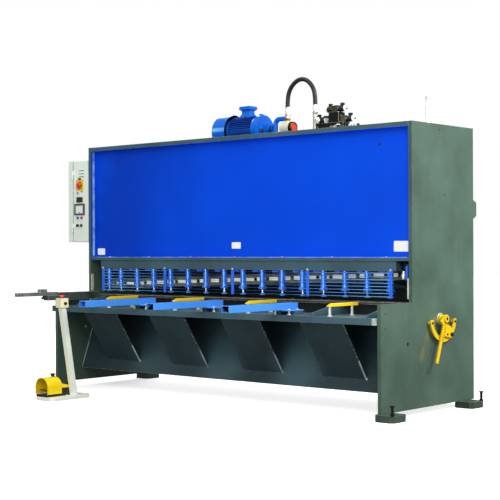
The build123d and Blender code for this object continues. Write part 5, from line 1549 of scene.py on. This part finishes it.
    def valves(self, frame: dict) -> None:
        """Dresses the manifold with plugs, test points and a white outlet collar."""
        self.dress(frame, "valve_block", Coat.BLACKED, MACHINE, "valve_black", 0.002)
        self.solenoid_valves()
        front = self.axis_y - 0.060
        piece = Workpiece("valve_trim", Coat.CHROME)
        for x, z in ((0.672, 2.085), (0.732, 2.150), (0.800, 2.085), (0.870, 2.140)):
            piece.turned([(0.0, -0.008), (0.012, -0.008), (0.0135, -0.006), (0.0135, 0.0), (0.0, 0.0)],
                         (x, front, z), Axis.Y, 6)
        piece.use(Coat.BRASS)
        for x in (0.655, 0.885):
            piece.turned([(0.0, -0.007), (0.008, -0.007), (0.0085, -0.005), (0.0085, 0.0), (0.0, 0.0)],
                         (x, front, 2.180), Axis.Y, 6)
        for start, end in (((0.700, 2.075), (0.842, 2.172)), ((0.722, 2.120), (0.880, 2.188))):
            middle = ((start[0] + end[0]) / 2, (start[1] + end[1]) / 2 + 0.018)
            piece.use(Coat.WHITE)
            piece.pipe([(start[0], front + 0.004, start[1]), (start[0], front - 0.016, start[1]),
                        (start[0] + 0.016, front - 0.024, start[1] + 0.010), (middle[0], front - 0.026, middle[1]),
                        (end[0] - 0.010, front - 0.024, end[1]), (end[0], front - 0.014, end[1]),
                        (end[0], front + 0.004, end[1])], 0.0062, 12)
        piece.use(Coat.WHITE)
        z = self.tank_top + 0.132
        for x in (0.937, 0.962, 0.987):
            piece.turned([(0.0195, 0.0), (0.0250, 0.002), (0.0250, 0.015), (0.0195, 0.017), (0.0195, 0.0)],
                         (x, self.axis_y, z), Axis.X, 24)
        piece.deliver(MACHINE, "fitting_chrome")

    def solenoid_valves(self) -> None:
        """Makes three solenoid valves and the relief valve."""
        low, high = self.tank_top + 0.165, self.tank_top + 0.250
        piece = Workpiece("solenoid_valve_group", Coat.OLIVE)
        self._valve(piece, (0.668, self.axis_y, low), Axis.Y, (-1, 1))
        self._valve(piece, (0.877, self.axis_y, low), Axis.X, (1,))
        self._valve(piece, (0.798, self.axis_y, high), Axis.X, (1, -1))
        place = (0.722, self.axis_y - 0.038, low)
        piece.use(Coat.CHROME)
        piece.turned([(0.0, 0.0), (0.016, 0.0), (0.016, 0.040), (0.012, 0.042), (0.0, 0.042)], place, Axis.Z, 6)
        piece.use(Coat.BLACK)
        knob = [(0.0, 0.040), (0.020, 0.041), (0.022, 0.044), (0.022, 0.054), (0.019, 0.058), (0.0, 0.058)]
        piece.turned(knob, place, Axis.Z, 18)
        piece.deliver(MACHINE, "valve_black", ["solenoid_valves"])

    def _valve(self, piece: Workpiece, base: Point, axis: Axis, ways: Sequence[int]) -> None:
        """Adds one valve body with a coil, nut and plug on each given side."""
        x, y, z = base
        half, tall = 0.028, 0.052
        piece.use(Coat.OLIVE)
        piece.block((x - half, y - half, z), (x + half, y + half, z + 0.020), 0.002)
        piece.use(Coat.BRASS)
        piece.block((x - half + 0.001, y - half + 0.001, z + 0.019), (x + half - 0.001, y + half - 0.001, z + 0.024), 0.0)
        piece.use(Coat.OLIVE)
        piece.block((x - half, y - half, z + 0.023), (x + half, y + half, z + tall), 0.003)
        piece.use(Coat.CHROME)
        for sx in (-1, 1):
            for sy in (-1, 1):
                piece.turned([(0.0, tall - 0.001), (0.0052, tall - 0.001), (0.0052, tall + 0.005), (0.0, tall + 0.005)],
                             (x + sx * 0.020, y + sy * 0.020, z), Axis.Z, 12)
        centre = Vector((x, y, z + tall / 2))
        for way in ways:
            def along(profile: Outline) -> list[tuple[float, float]]:
                """Mirrors a profile to the side that the coil stands on."""
                return [(radius, way * place) for radius, place in profile]
            origin = tuple(centre)
            piece.use(Coat.CHROME)
            piece.turned(along([(0.0, half), (0.0235, half), (0.0235, half + 0.006), (0.0, half + 0.006)]),
                         origin, axis, 24)
            piece.use(Coat.BLACK)
            piece.turned(along([(0.0, half + 0.005), (0.024, half + 0.005), (0.025, half + 0.007),
                                (0.025, half + 0.052), (0.024, half + 0.055), (0.0, half + 0.055)]),
                         origin, axis, 28)
            piece.use(Coat.WHITE)
            piece.turned(along([(0.0, half + 0.053), (0.0235, half + 0.053), (0.0245, half + 0.055),
                                (0.0245, half + 0.061), (0.0225, half + 0.062), (0.0, half + 0.062)]),
                         origin, axis, 24)
            piece.use(Coat.CHROME)
            piece.turned(along([(0.0, half + 0.060), (0.0115, half + 0.060), (0.012, half + 0.062),
                                (0.012, half + 0.073), (0.010, half + 0.076), (0.0, half + 0.076)]),
                         origin, axis, 6)
            plug = centre + axis.place(0, 0, way * (half + 0.030))
            piece.use(Coat.BLACK)
            piece.block((plug.x - 0.013, plug.y - 0.013, plug.z + 0.022), (plug.x + 0.013, plug.y + 0.013,
                        plug.z + 0.044), 0.003)

    def bolts(self) -> None:
        """Bolts the motor flange and the motor feet."""
        ring = []
        for turn in (50, 130, 230, 310):
            angle = math.radians(turn)
            reach = self.shield_radius - 0.012
            ring.append((self.flange_left + 0.026, self.axis_y + reach * math.cos(angle),
                         self.axis_z + reach * math.sin(angle)))
        FastenerRow("shield_bolts", ring, RIGHT, 0.0085, 0.007, Head.HEX, Coat.BLACKED, None, 1.3).deliver(
            MACHINE, "black_steel")
        feet = [(x, self.axis_y + side * 0.106, self.tank_top + 0.013) for x in (-0.235, -0.065) for side in (-1, 1)]
        FastenerRow("motor_foot_bolts", feet, UP, 0.010, 0.009, Head.HEX, Coat.ZINC, None, 1.35).deliver(
            MACHINE, "zinc_steel")


@dataclass
class ControlCabinet(SubAssembly):
    """Electrical cabinet with its door and the fittings on it."""

    body: str = "cabinet_door"
    face: float = COVER
    switch_x: float = -1.870
    spread: float = 0.026

    def build(self, frame: dict) -> None:
        """Builds the pieces."""
        self.dress(frame, "control_cabinet", Coat.CABINET, MACHINE, "cabinet_paint", 0.0015)
        self.dress(frame, "cabinet_door", Coat.CABINET, self.body, "cabinet_paint", 0.0015)
        self.switch_plate()
        self.main_switch(frame)
        self.instruments()
        self.louvres()

    def switch_plate(self) -> None:
        """Adds the black collar, the latch, the key and the blank label around the main switch."""
        y = self.face
        piece = Workpiece("switch_trim", Coat.BLACK)
        piece.turned([(0.0275, y - 0.0045), (0.032, y - 0.0045), (0.033, y - 0.0035), (0.033, y - 0.0025),
                      (0.0275, y - 0.0025), (0.0275, y - 0.0045)], (self.switch_x, 0.0, 1.802), Axis.Y, 40)
        piece.block((-1.882, y - 0.011, 1.852), (-1.852, y + 0.001, 1.866), 0.003)
        piece.pipe([(-1.895, y - 0.016, 1.740), (-1.880, y - 0.016, 1.722)], 0.0035, 10)
        piece.use(Coat.CHROME)
        piece.turned([(0.0, y - 0.014), (0.0065, y - 0.014), (0.0075, y - 0.012), (0.0075, y + 0.001),
                      (0.0, y + 0.001)], (-1.888, 0.0, 1.731), Axis.Y, 20)
        piece.use(Coat.RED)
        piece.prism(rounded_plate(1.741, -1.843, 0.010, 0.038, 0.001), Axis.Y, y - 0.0008, 0.001, 0.0)
        piece.use(Coat.WHITE)
        piece.prism(rounded_plate(1.729, -1.846, 0.014, 0.046, 0.001), Axis.Y, y - 0.0006, 0.0008, 0.0)
        piece.deliver(self.body, "door_plastic")

    def main_switch(self, frame: dict) -> None:
        """Replaces the main switch by a fluted knob with its grip bar."""
        points = [v.co for v in frame["nodes"]["main_switch"].data.vertices]
        low = [min(p[i] for p in points) for i in range(3)]
        high = [max(p[i] for p in points) for i in range(3)]
        x, z = (low[0] + high[0]) / 2, (low[2] + high[2]) / 2
        reach = min(high[0] - low[0], high[2] - low[2]) / 2
        piece = Workpiece("main_switch_knob", Coat.RED)
        piece.turned([(0.0, high[1]), (0.022, high[1]), (0.022, low[1] + 0.020), (0.0, low[1] + 0.020)],
                     (x, 0.0, z), Axis.Y, 40)
        piece.turned([(0.0, low[1] + 0.030), (reach + 0.002, low[1] + 0.030), (reach + 0.004, low[1] + 0.027),
                      (reach + 0.004, low[1] + 0.015), (reach, low[1] + 0.011), (0.0, low[1] + 0.010)],
                     (x, 0.0, z), Axis.Y, 4)
        grip = [(z - reach * 0.92, x - 0.004), (z - reach * 0.92, x + 0.004), (z - 0.012, x + 0.010),
                (z + 0.012, x + 0.010), (z + reach * 0.92, x + 0.004), (z + reach * 0.92, x - 0.004),
                (z + 0.012, x - 0.010), (z - 0.012, x - 0.010)]
        piece.prism(grip, Axis.Y, low[1], 0.013, 0.0015)
        piece.use(Coat.WHITE)
        piece.block((x - 0.0012, low[1] - 0.0002, z + reach * 0.45), (x + 0.0012, low[1] + 0.0006, z + reach * 0.85), 0.0)
        piece.deliver("main_switch", "red_plastic", ["main_switch"])

    def instruments(self) -> None:
        """Sets the switch plate, counter, display, buttons and selectors on the door."""
        x, y = self.switch_x, self.face
        piece = Workpiece("door_instruments", Coat.PLATE_YELLOW)
        piece.prism(rounded_plate(1.802, x, 0.100, 0.100, 0.009), Axis.Y, y - 0.003, 0.0032, 0.0006)
        piece.use(Coat.BLACK)
        piece.prism(rounded_plate(1.669, x, 0.050, 0.084, 0.003), Axis.Y, y - 0.008, 0.0082, 0.0012)
        piece.use(Coat.DARK_GLASS)
        piece.block((x - 0.034, y - 0.0088, 1.655), (x + 0.034, y - 0.0075, 1.683), 0.0004)
        self._display(piece)
        for side, coat in ((-1, Coat.BLUE), (1, Coat.RED)):
            self._button(piece, x + side * self.spread, 1.504, coat)
            self._selector(piece, x + side * self.spread, 1.435)
        piece.deliver(self.body, "door_plastic", ["door_fittings"])

    def _display(self, piece: Workpiece) -> None:
        """Adds the operator display, a dark moulded frame around a pale screen."""
        x, y, z = self.switch_x, self.face, 1.581
        piece.use(Coat.BEZEL)
        for low, high in (((-0.068, -0.052), (0.068, -0.036)), ((-0.068, 0.036), (0.068, 0.052)),
                          ((-0.068, -0.036), (-0.050, 0.036)), ((0.050, -0.036), (0.068, 0.036))):
            piece.block((x + low[0], y - 0.010, z + low[1]), (x + high[0], y + 0.0002, z + high[1]), 0.0015)
        piece.use(Coat.SCREEN)
        piece.block((x - 0.051, y - 0.007, z - 0.037), (x + 0.051, y + 0.0002, z + 0.037), 0.0)
        piece.use(Coat.BRASS)
        piece.block((x - 0.010, y - 0.0074, z - 0.034), (x + 0.012, y - 0.0068, z - 0.027), 0.0)

    def _button(self, piece: Workpiece, x: float, z: float, coat: Coat) -> None:
        """Adds one push button in its black collar."""
        y = self.face
        piece.use(Coat.BLACK)
        piece.turned([(0.0090, y - 0.006), (0.0115, y - 0.006), (0.0120, y - 0.004), (0.0120, y + 0.0002),
                      (0.0090, y + 0.0002), (0.0090, y - 0.006)], (x, 0.0, z), Axis.Y, 28)
        piece.use(coat)
        piece.turned([(0.0, y - 0.014), (0.0085, y - 0.014), (0.0105, y - 0.0125), (0.0108, y - 0.007),
                      (0.0092, y - 0.0055), (0.0, y - 0.0055)], (x, 0.0, z), Axis.Y, 28)

    def _selector(self, piece: Workpiece, x: float, z: float) -> None:
        """Adds one selector with a tilted bar grip."""
        y = self.face
        piece.use(Coat.BLACK)
        piece.turned([(0.0, y - 0.012), (0.0105, y - 0.012), (0.0120, y - 0.010), (0.0120, y + 0.0002),
                      (0.0, y + 0.0002)], (x, 0.0, z), Axis.Y, 28)
        grip = [(z + up + 0.35 * across, x + across - 0.35 * up * 0.0 + 0.30 * up)
                for up, across in ((-0.0135, -0.004), (-0.0135, 0.004), (0.0135, 0.004), (0.0135, -0.004))]
        piece.prism(grip, Axis.Y, y - 0.024, 0.0125, 0.0012)

    def louvres(self) -> None:
        """Presses three short slots near the top of the door."""
        piece = Workpiece("door_louvres", Coat.CABINET)
        slots = Coat.BLACKED
        for z in (1.937, 1.908, 1.880):
            piece.use(slots)
            piece.block((-1.878, self.face - 0.0004, z - 0.0055), (-1.814, self.face + 0.0010, z + 0.0010), 0.0)
            piece.use(Coat.CABINET)
            outline = [(z + 0.0010, 0.0), (z + 0.0060, 0.0), (z + 0.0010, 0.006)]
            points = [(self.face - depth, up) for up, depth in outline]
            piece.prism(points, Axis.X, -1.880, 0.068, 0.0)
        piece.deliver(self.body, "cabinet_paint")


@dataclass
class GapLever(SubAssembly):
    """Lever and quadrant that set the blade gap."""

    body: str = "gap_lever"
    axis_y: float = COVER + 0.368
    axis_z: float = 0.690
    plate: float = 1.750
    ring: float = 1.782
    front: float = 1.799
    rest: float = math.radians(250)

    def at(self, turn: float, radius: float) -> tuple[float, float]:
        """Gives a point on the lever's plane.

        Args:
            turn: Angle from the rest direction of the lever, in degrees.
            radius: Distance from the pivot.

        Returns:
            Its places along Y and Z.
        """
        angle = self.rest + math.radians(turn)
        return self.axis_y + radius * math.cos(angle), self.axis_z + radius * math.sin(angle)

    def build(self, frame: dict) -> None:
        """Builds the pieces."""
        self.dress(frame, "gap_quadrant", Coat.LEVER, MACHINE, "lever_paint", 0.0025)
        self.dress(frame, "gap_lever", Coat.LEVER, self.body, "lever_paint", 0.0025)
        self.scale_disc()
        self.quadrant_screws()
        self.hub_and_clamp()

    def scale_disc(self) -> None:
        """Fixes the white dial with its black flange behind the lever."""
        piece = Workpiece("gap_dial", Coat.ZINC)
        base = (0.0, self.axis_y, self.axis_z)
        piece.turned([(0.030, self.plate), (0.043, self.plate), (0.043, self.plate + 0.002),
                      (0.042, self.plate + 0.003), (0.030, self.plate + 0.003), (0.030, self.plate)],
                     base, Axis.X, 48)
        piece.use(Coat.BLACKED)
        piece.turned([(0.0215, self.plate - 0.001), (0.0305, self.plate - 0.001), (0.0305, self.plate + 0.003),
                      (0.029, self.plate + 0.004), (0.0215, self.plate + 0.004), (0.0215, self.plate - 0.001)],
                     base, Axis.X, 40)
        for step in range(25):
            turn = math.radians(-60 + 10 * step)
            spot = Vector(base) + Axis.X.place(0.037 * math.cos(turn), 0.037 * math.sin(turn), self.plate + 0.0028)
            tip = Vector(base) + Axis.X.place(0.041 * math.cos(turn), 0.041 * math.sin(turn), self.plate + 0.0028)
            piece.pipe([tuple(spot), tuple(tip)], 0.0005, 4)
        piece.deliver(MACHINE, "black_steel")

    def quadrant_screws(self) -> None:
        """Screws the quadrant to its posts."""
        heads = []
        for degrees in (190, 270, 350):
            angle = math.radians(degrees)
            heads.append((self.ring, self.axis_y + 0.155 * math.cos(angle), self.axis_z + 0.155 * math.sin(angle)))
        shown = [heads[0], heads[2]]
        FastenerRow("quadrant_screws", shown, RIGHT, 0.0095, 0.004, Head.ROUND, Coat.BLACKED, Coat.BLACK).deliver(
            MACHINE, "black_steel")

    def hub_and_clamp(self) -> None:
        """Adds the shaft nut, the handle's rounded end and the clamp screw."""
        base = (0.0, self.axis_y, self.axis_z)
        piece = Workpiece("lever_hub_nut", Coat.LEVER)
        piece.turned([(0.014, self.front - 0.002), (0.0295, self.front - 0.002), (0.0295, self.front + 0.009),
                      (0.027, self.front + 0.0125), (0.014, self.front + 0.0125), (0.014, self.front - 0.002)],
                     base, Axis.X, 40)
        piece.use(Coat.BLACK)
        piece.turned([(0.0, self.front + 0.0), (0.0138, self.front + 0.0), (0.0138, self.front + 0.0124),
                      (0.0, self.front + 0.0124)], base, Axis.X, 6)
        piece.use(Coat.BLACKED)
        y, z = self.at(53, 0.142)
        piece.turned([(0.0, self.front - 0.001), (0.015, self.front - 0.001), (0.016, self.front + 0.001),
                      (0.016, self.front + 0.009), (0.013, self.front + 0.011), (0.0, self.front + 0.011)],
                     (0.0, y, z), Axis.X, 6)
        y, z = self.at(30, 0.118)
        piece.turned([(0.0, self.front - 0.001), (0.007, self.front - 0.001), (0.007, self.front + 0.005),
                      (0.005, self.front + 0.006), (0.0, self.front + 0.006)], (0.0, y, z), Axis.X, 20)
        piece.deliver(self.body, "lever_paint")


@dataclass
class FootSwitch(SubAssembly):
    """Foot switch stand with its pedal and stop button."""

    column: Point = (-1.005, COVER - 0.944, 0.745)
    box: float = 0.076
    pedal_x: float = -1.092
    pedal_front: float = COVER - 1.090
    hood_length: float = 0.150
    hood_radius: float = 0.076
    hood_top: float = 0.182
    hood_foot: float = 0.048

    def build(self, frame: dict) -> None:
        """Builds the pieces."""
        self.dress(frame, "switch_stand", Coat.STAND, MACHINE, "stand_paint", 0.003)
        self.dress(frame, "stop_box", Coat.BOX_CREAM, MACHINE, "box_plastic", 0.003)
        self.dress(frame, "pedal_base", Coat.BLACK, MACHINE, "pedal_black", 0.002)
        self.dress(frame, "pedal_hood", Coat.SAFETY_YELLOW, MACHINE, "pedal_yellow", 0.002)
        self.dress(frame, "pedal_treadle", Coat.BLACK, "pedal_treadle", "pedal_black", 0.0012)
        self.stop_button()
        self.box_details()
        self.hood_details()
        self.stand_bolts()

    def stop_button(self) -> None:
        """Turns the mushroom head of the stop button."""
        x, y, z = self.column
        low = z + self.box
        piece = Workpiece("stop_mushroom", Coat.RED)
        piece.turned([(0.0, low + 0.009), (0.0185, low + 0.009), (0.020, low + 0.011), (0.0204, low + 0.016),
                      (0.0185, low + 0.021), (0.014, low + 0.0245), (0.007, low + 0.0265), (0.0, low + 0.027)],
                     (x, y, 0), sides=36)
        piece.turned([(0.0, low - 0.016), (0.008, low - 0.016), (0.008, low + 0.010), (0.0, low + 0.010)],
                     (x, y, 0), sides=20)
        piece.deliver("stop_button", "red_plastic", ["stop_button"])

    def box_details(self) -> None:
        """Adds the gland, the collar and the lid screws of the stop box."""
        x, y, z = self.column
        half = self.box / 2
        piece = Workpiece("stop_box_trim", Coat.BLACK)
        piece.turned([(0.0, 0.0), (0.013, 0.0), (0.013, 0.006), (0.010, 0.008), (0.010, 0.014), (0.0, 0.014)],
                     (x + half - 0.001, y, z + 0.034), Axis.X, 24)
        piece.turned([(0.0095, z + self.box - 0.001), (0.0185, z + self.box - 0.001), (0.0185, z + self.box + 0.001),
                      (0.0165, z + self.box + 0.002), (0.0095, z + self.box + 0.002),
                      (0.0095, z + self.box - 0.001)], (x, y, 0), sides=32)
        piece.deliver(MACHINE, "door_plastic")
        corners = [(x + sx * 0.028, y + sy * 0.028, z + self.box) for sx in (-1, 1) for sy in (-1, 1)]
        FastenerRow("stop_box_screws", corners, UP, 0.0032, 0.0014, Head.ROUND, Coat.ZINC).deliver(
            MACHINE, "zinc_steel")

    def hood_details(self) -> None:
        """Adds the hood's rolled mouth, its rear knob and the treadle's grooves."""
        x, front = self.pedal_x, self.pedal_front
        centre = self.hood_top - self.hood_radius
        radius = self.hood_radius - 0.0025
        lip = [(x - radius, front + 0.002, self.hood_foot + 0.002)]
        for step in range(25):
            turn = math.pi * (1 - step / 24)
            lip.append((x + radius * math.cos(turn), front + 0.002, centre + radius * math.sin(turn)))
        lip.append((x + radius, front + 0.002, self.hood_foot + 0.002))
        piece = Workpiece("hood_lip", Coat.SAFETY_YELLOW)
        piece.pipe(lip, 0.0042, 10)
        piece.deliver(MACHINE, "pedal_yellow")
        rear = Workpiece("pedal_knob", Coat.BLACK)
        rear.turned([(0.0, 0.0), (0.011, 0.0), (0.006, 0.006), (0.006, 0.014), (0.012, 0.018), (0.013, 0.024),
                     (0.009, 0.027), (0.0, 0.028)], (x, front + 0.128, self.hood_top - 0.001), Axis.Z, 24)
        rear.deliver(MACHINE, "pedal_black")
        ribs = Workpiece("treadle_ribs", Coat.BLACK)
        y_axis, z_axis = front + self.hood_length - 0.025, self.hood_foot + 0.016
        for index in range(9):
            share = 0.08 + 0.1 * index
            y = y_axis - 0.108 * share
            z = z_axis + 0.004 + 0.018 * share
            ribs.pipe([(x - 0.038, y, z), (x + 0.038, y, z)], 0.0018, 8)
        ribs.deliver("pedal_treadle", "pedal_black")

    def stand_bolts(self) -> None:
        """Screws the pedal and the column to the stand."""
        places = [(self.pedal_x + side * 0.070, self.pedal_front + 0.205, 0.028) for side in (-1, 1)]
        places += [(-0.970, -1.02, 0.028), (-0.970, -0.90, 0.028)]
        FastenerRow("stand_bolts", places, UP, 0.007, 0.006, Head.HEX, Coat.ZINC, None, 1.4).deliver(
            MACHINE, "zinc_steel")


# Stage


@dataclass
class Studio:
    """Pale floor, soft lights and the camera."""

    camera_place: Point = (6.8216, -7.7337, 1.205)
    yaw: float = 0.7209
    roll: float = -0.0041
    lens: float = 90.01
    ambient: float = 0.22
    reflected: float = 0.36

    def build(self) -> None:
        """Sets up the floor, the lights, the surroundings and the camera."""
        self.floor()
        self.lights()
        self.camera()
        bpy.context.scene.view_settings.view_transform = "Standard"

    def floor(self) -> None:
        """Lays the floor."""
        data = bpy.data.meshes.new("studio_floor")
        reach = 40.0
        corners = [(-reach, -reach, 0), (reach, -reach, 0), (reach, reach, 0), (-reach, reach, 0)]
        data.from_pydata(corners, [], [(0, 1, 2, 3)])
        data.materials.append(Coat.FLOOR.material)
        item = bpy.data.objects.new("studio_floor", data)
        bpy.context.scene.collection.objects.link(item)

    def lights(self) -> None:
        """Hangs the soft lights and brightens the surroundings."""
        self.surroundings()
        self.softbox("key", (5.5, -6.0, 5.0), (0.6, 0.0, 1.2), 4.0, 330.0)
        self.softbox("low", (1.6, -8.5, 1.5), (0.2, 0.0, 1.0), 7.0, 190.0, 1.4)
        self.softbox("side", (5.6, 1.0, 4.2), (1.7, 0.2, 1.3), 3.0, 430.0)
        self.softbox("top", (-0.5, -2.5, 6.5), (0.0, -0.5, 0.5), 5.0, 150.0)
        self.softbox("rear", (-5.0, 6.5, 4.5), (0.0, 0.3, 1.2), 4.0, 320.0)

    def surroundings(self) -> None:
        """Shows a white surround and lets a dimmer one light the machine."""
        world = bpy.data.worlds.new("studio_air")
        world.use_nodes = True
        tree = world.node_tree
        tree.nodes.clear()
        seen = tree.nodes.new("ShaderNodeBackground")
        seen.inputs["Strength"].default_value = 1.0
        seen.inputs["Color"].default_value = (1.0, 1.0, 1.0, 1.0)
        cast = tree.nodes.new("ShaderNodeBackground")
        cast.inputs["Strength"].default_value = self.ambient
        cast.inputs["Color"].default_value = (0.96, 0.98, 1.0, 1.0)
        path = tree.nodes.new("ShaderNodeLightPath")
        shiny = tree.nodes.new("ShaderNodeMath")
        shiny.operation = "MULTIPLY_ADD"
        shiny.inputs[1].default_value = self.reflected
        tree.links.new(path.outputs["Is Glossy Ray"], shiny.inputs[0])
        tree.links.new(path.outputs["Is Camera Ray"], shiny.inputs[2])
        mix = tree.nodes.new("ShaderNodeMixShader")
        output = tree.nodes.new("ShaderNodeOutputWorld")
        tree.links.new(shiny.outputs["Value"], mix.inputs["Fac"])
        tree.links.new(cast.outputs["Background"], mix.inputs[1])
        tree.links.new(seen.outputs["Background"], mix.inputs[2])
        tree.links.new(mix.outputs["Shader"], output.inputs["Surface"])
        bpy.context.scene.world = world

    def softbox(self, name: str, place: Point, target: Point, size: float, power: float,
                height: float | None = None) -> None:
        """Hangs one soft light.

        Args:
            name: Name of the light.
            place: Where it hangs.
            target: Point it faces.
            size: Width in metres.
            power: Power in watts.
            height: Height in metres, the same as the width where it isn't given.
        """
        light = bpy.data.lights.new(name, "AREA")
        light.shape = "RECTANGLE"
        light.size = size
        light.size_y = size if height is None else height
        light.energy = power
        item = bpy.data.objects.new(name, light)
        item.location = place
        item.rotation_euler = (Vector(target) - Vector(place)).to_track_quat("-Z", "Y").to_euler()
        bpy.context.scene.collection.objects.link(item)

    def camera(self) -> None:
        """Places the camera where the photograph was taken."""
        level = Vector((math.cos(self.yaw), math.sin(self.yaw), 0.0))
        ahead = Vector((-math.sin(self.yaw), math.cos(self.yaw), 0.0))
        upright = Vector((0.0, 0.0, 1.0))
        right = level * math.cos(self.roll) + upright * math.sin(self.roll)
        up = -level * math.sin(self.roll) + upright * math.cos(self.roll)
        data = bpy.data.cameras.new("photograph")
        data.lens = self.lens
        data.sensor_width = 36.0
        data.clip_end = 200.0
        item = bpy.data.objects.new("photograph", data)
        turn = Matrix((right, up, -ahead)).transposed().to_4x4()
        item.matrix_world = Matrix.Translation(self.camera_place) @ turn
        bpy.context.scene.collection.objects.link(item)
        bpy.context.scene.camera = item


def main() -> None:
    """Builds the machine around its frame and sets the stage."""
    logging.basicConfig(level=logging.INFO, format="%(message)s")
    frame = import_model()
    Studio().build()
    parts: list[SubAssembly] = [Frame(), Table(), SheetSupports(), FrontFace(), HoldDownRow(), CuttingBeam(),
                                PowerUnit(), ControlCabinet(), GapLever(), FootSwitch()]
    for part in parts:
        part.build(frame)
        log.info("built %s", type(part).__name__)


if __name__ == "__main__":
    main()
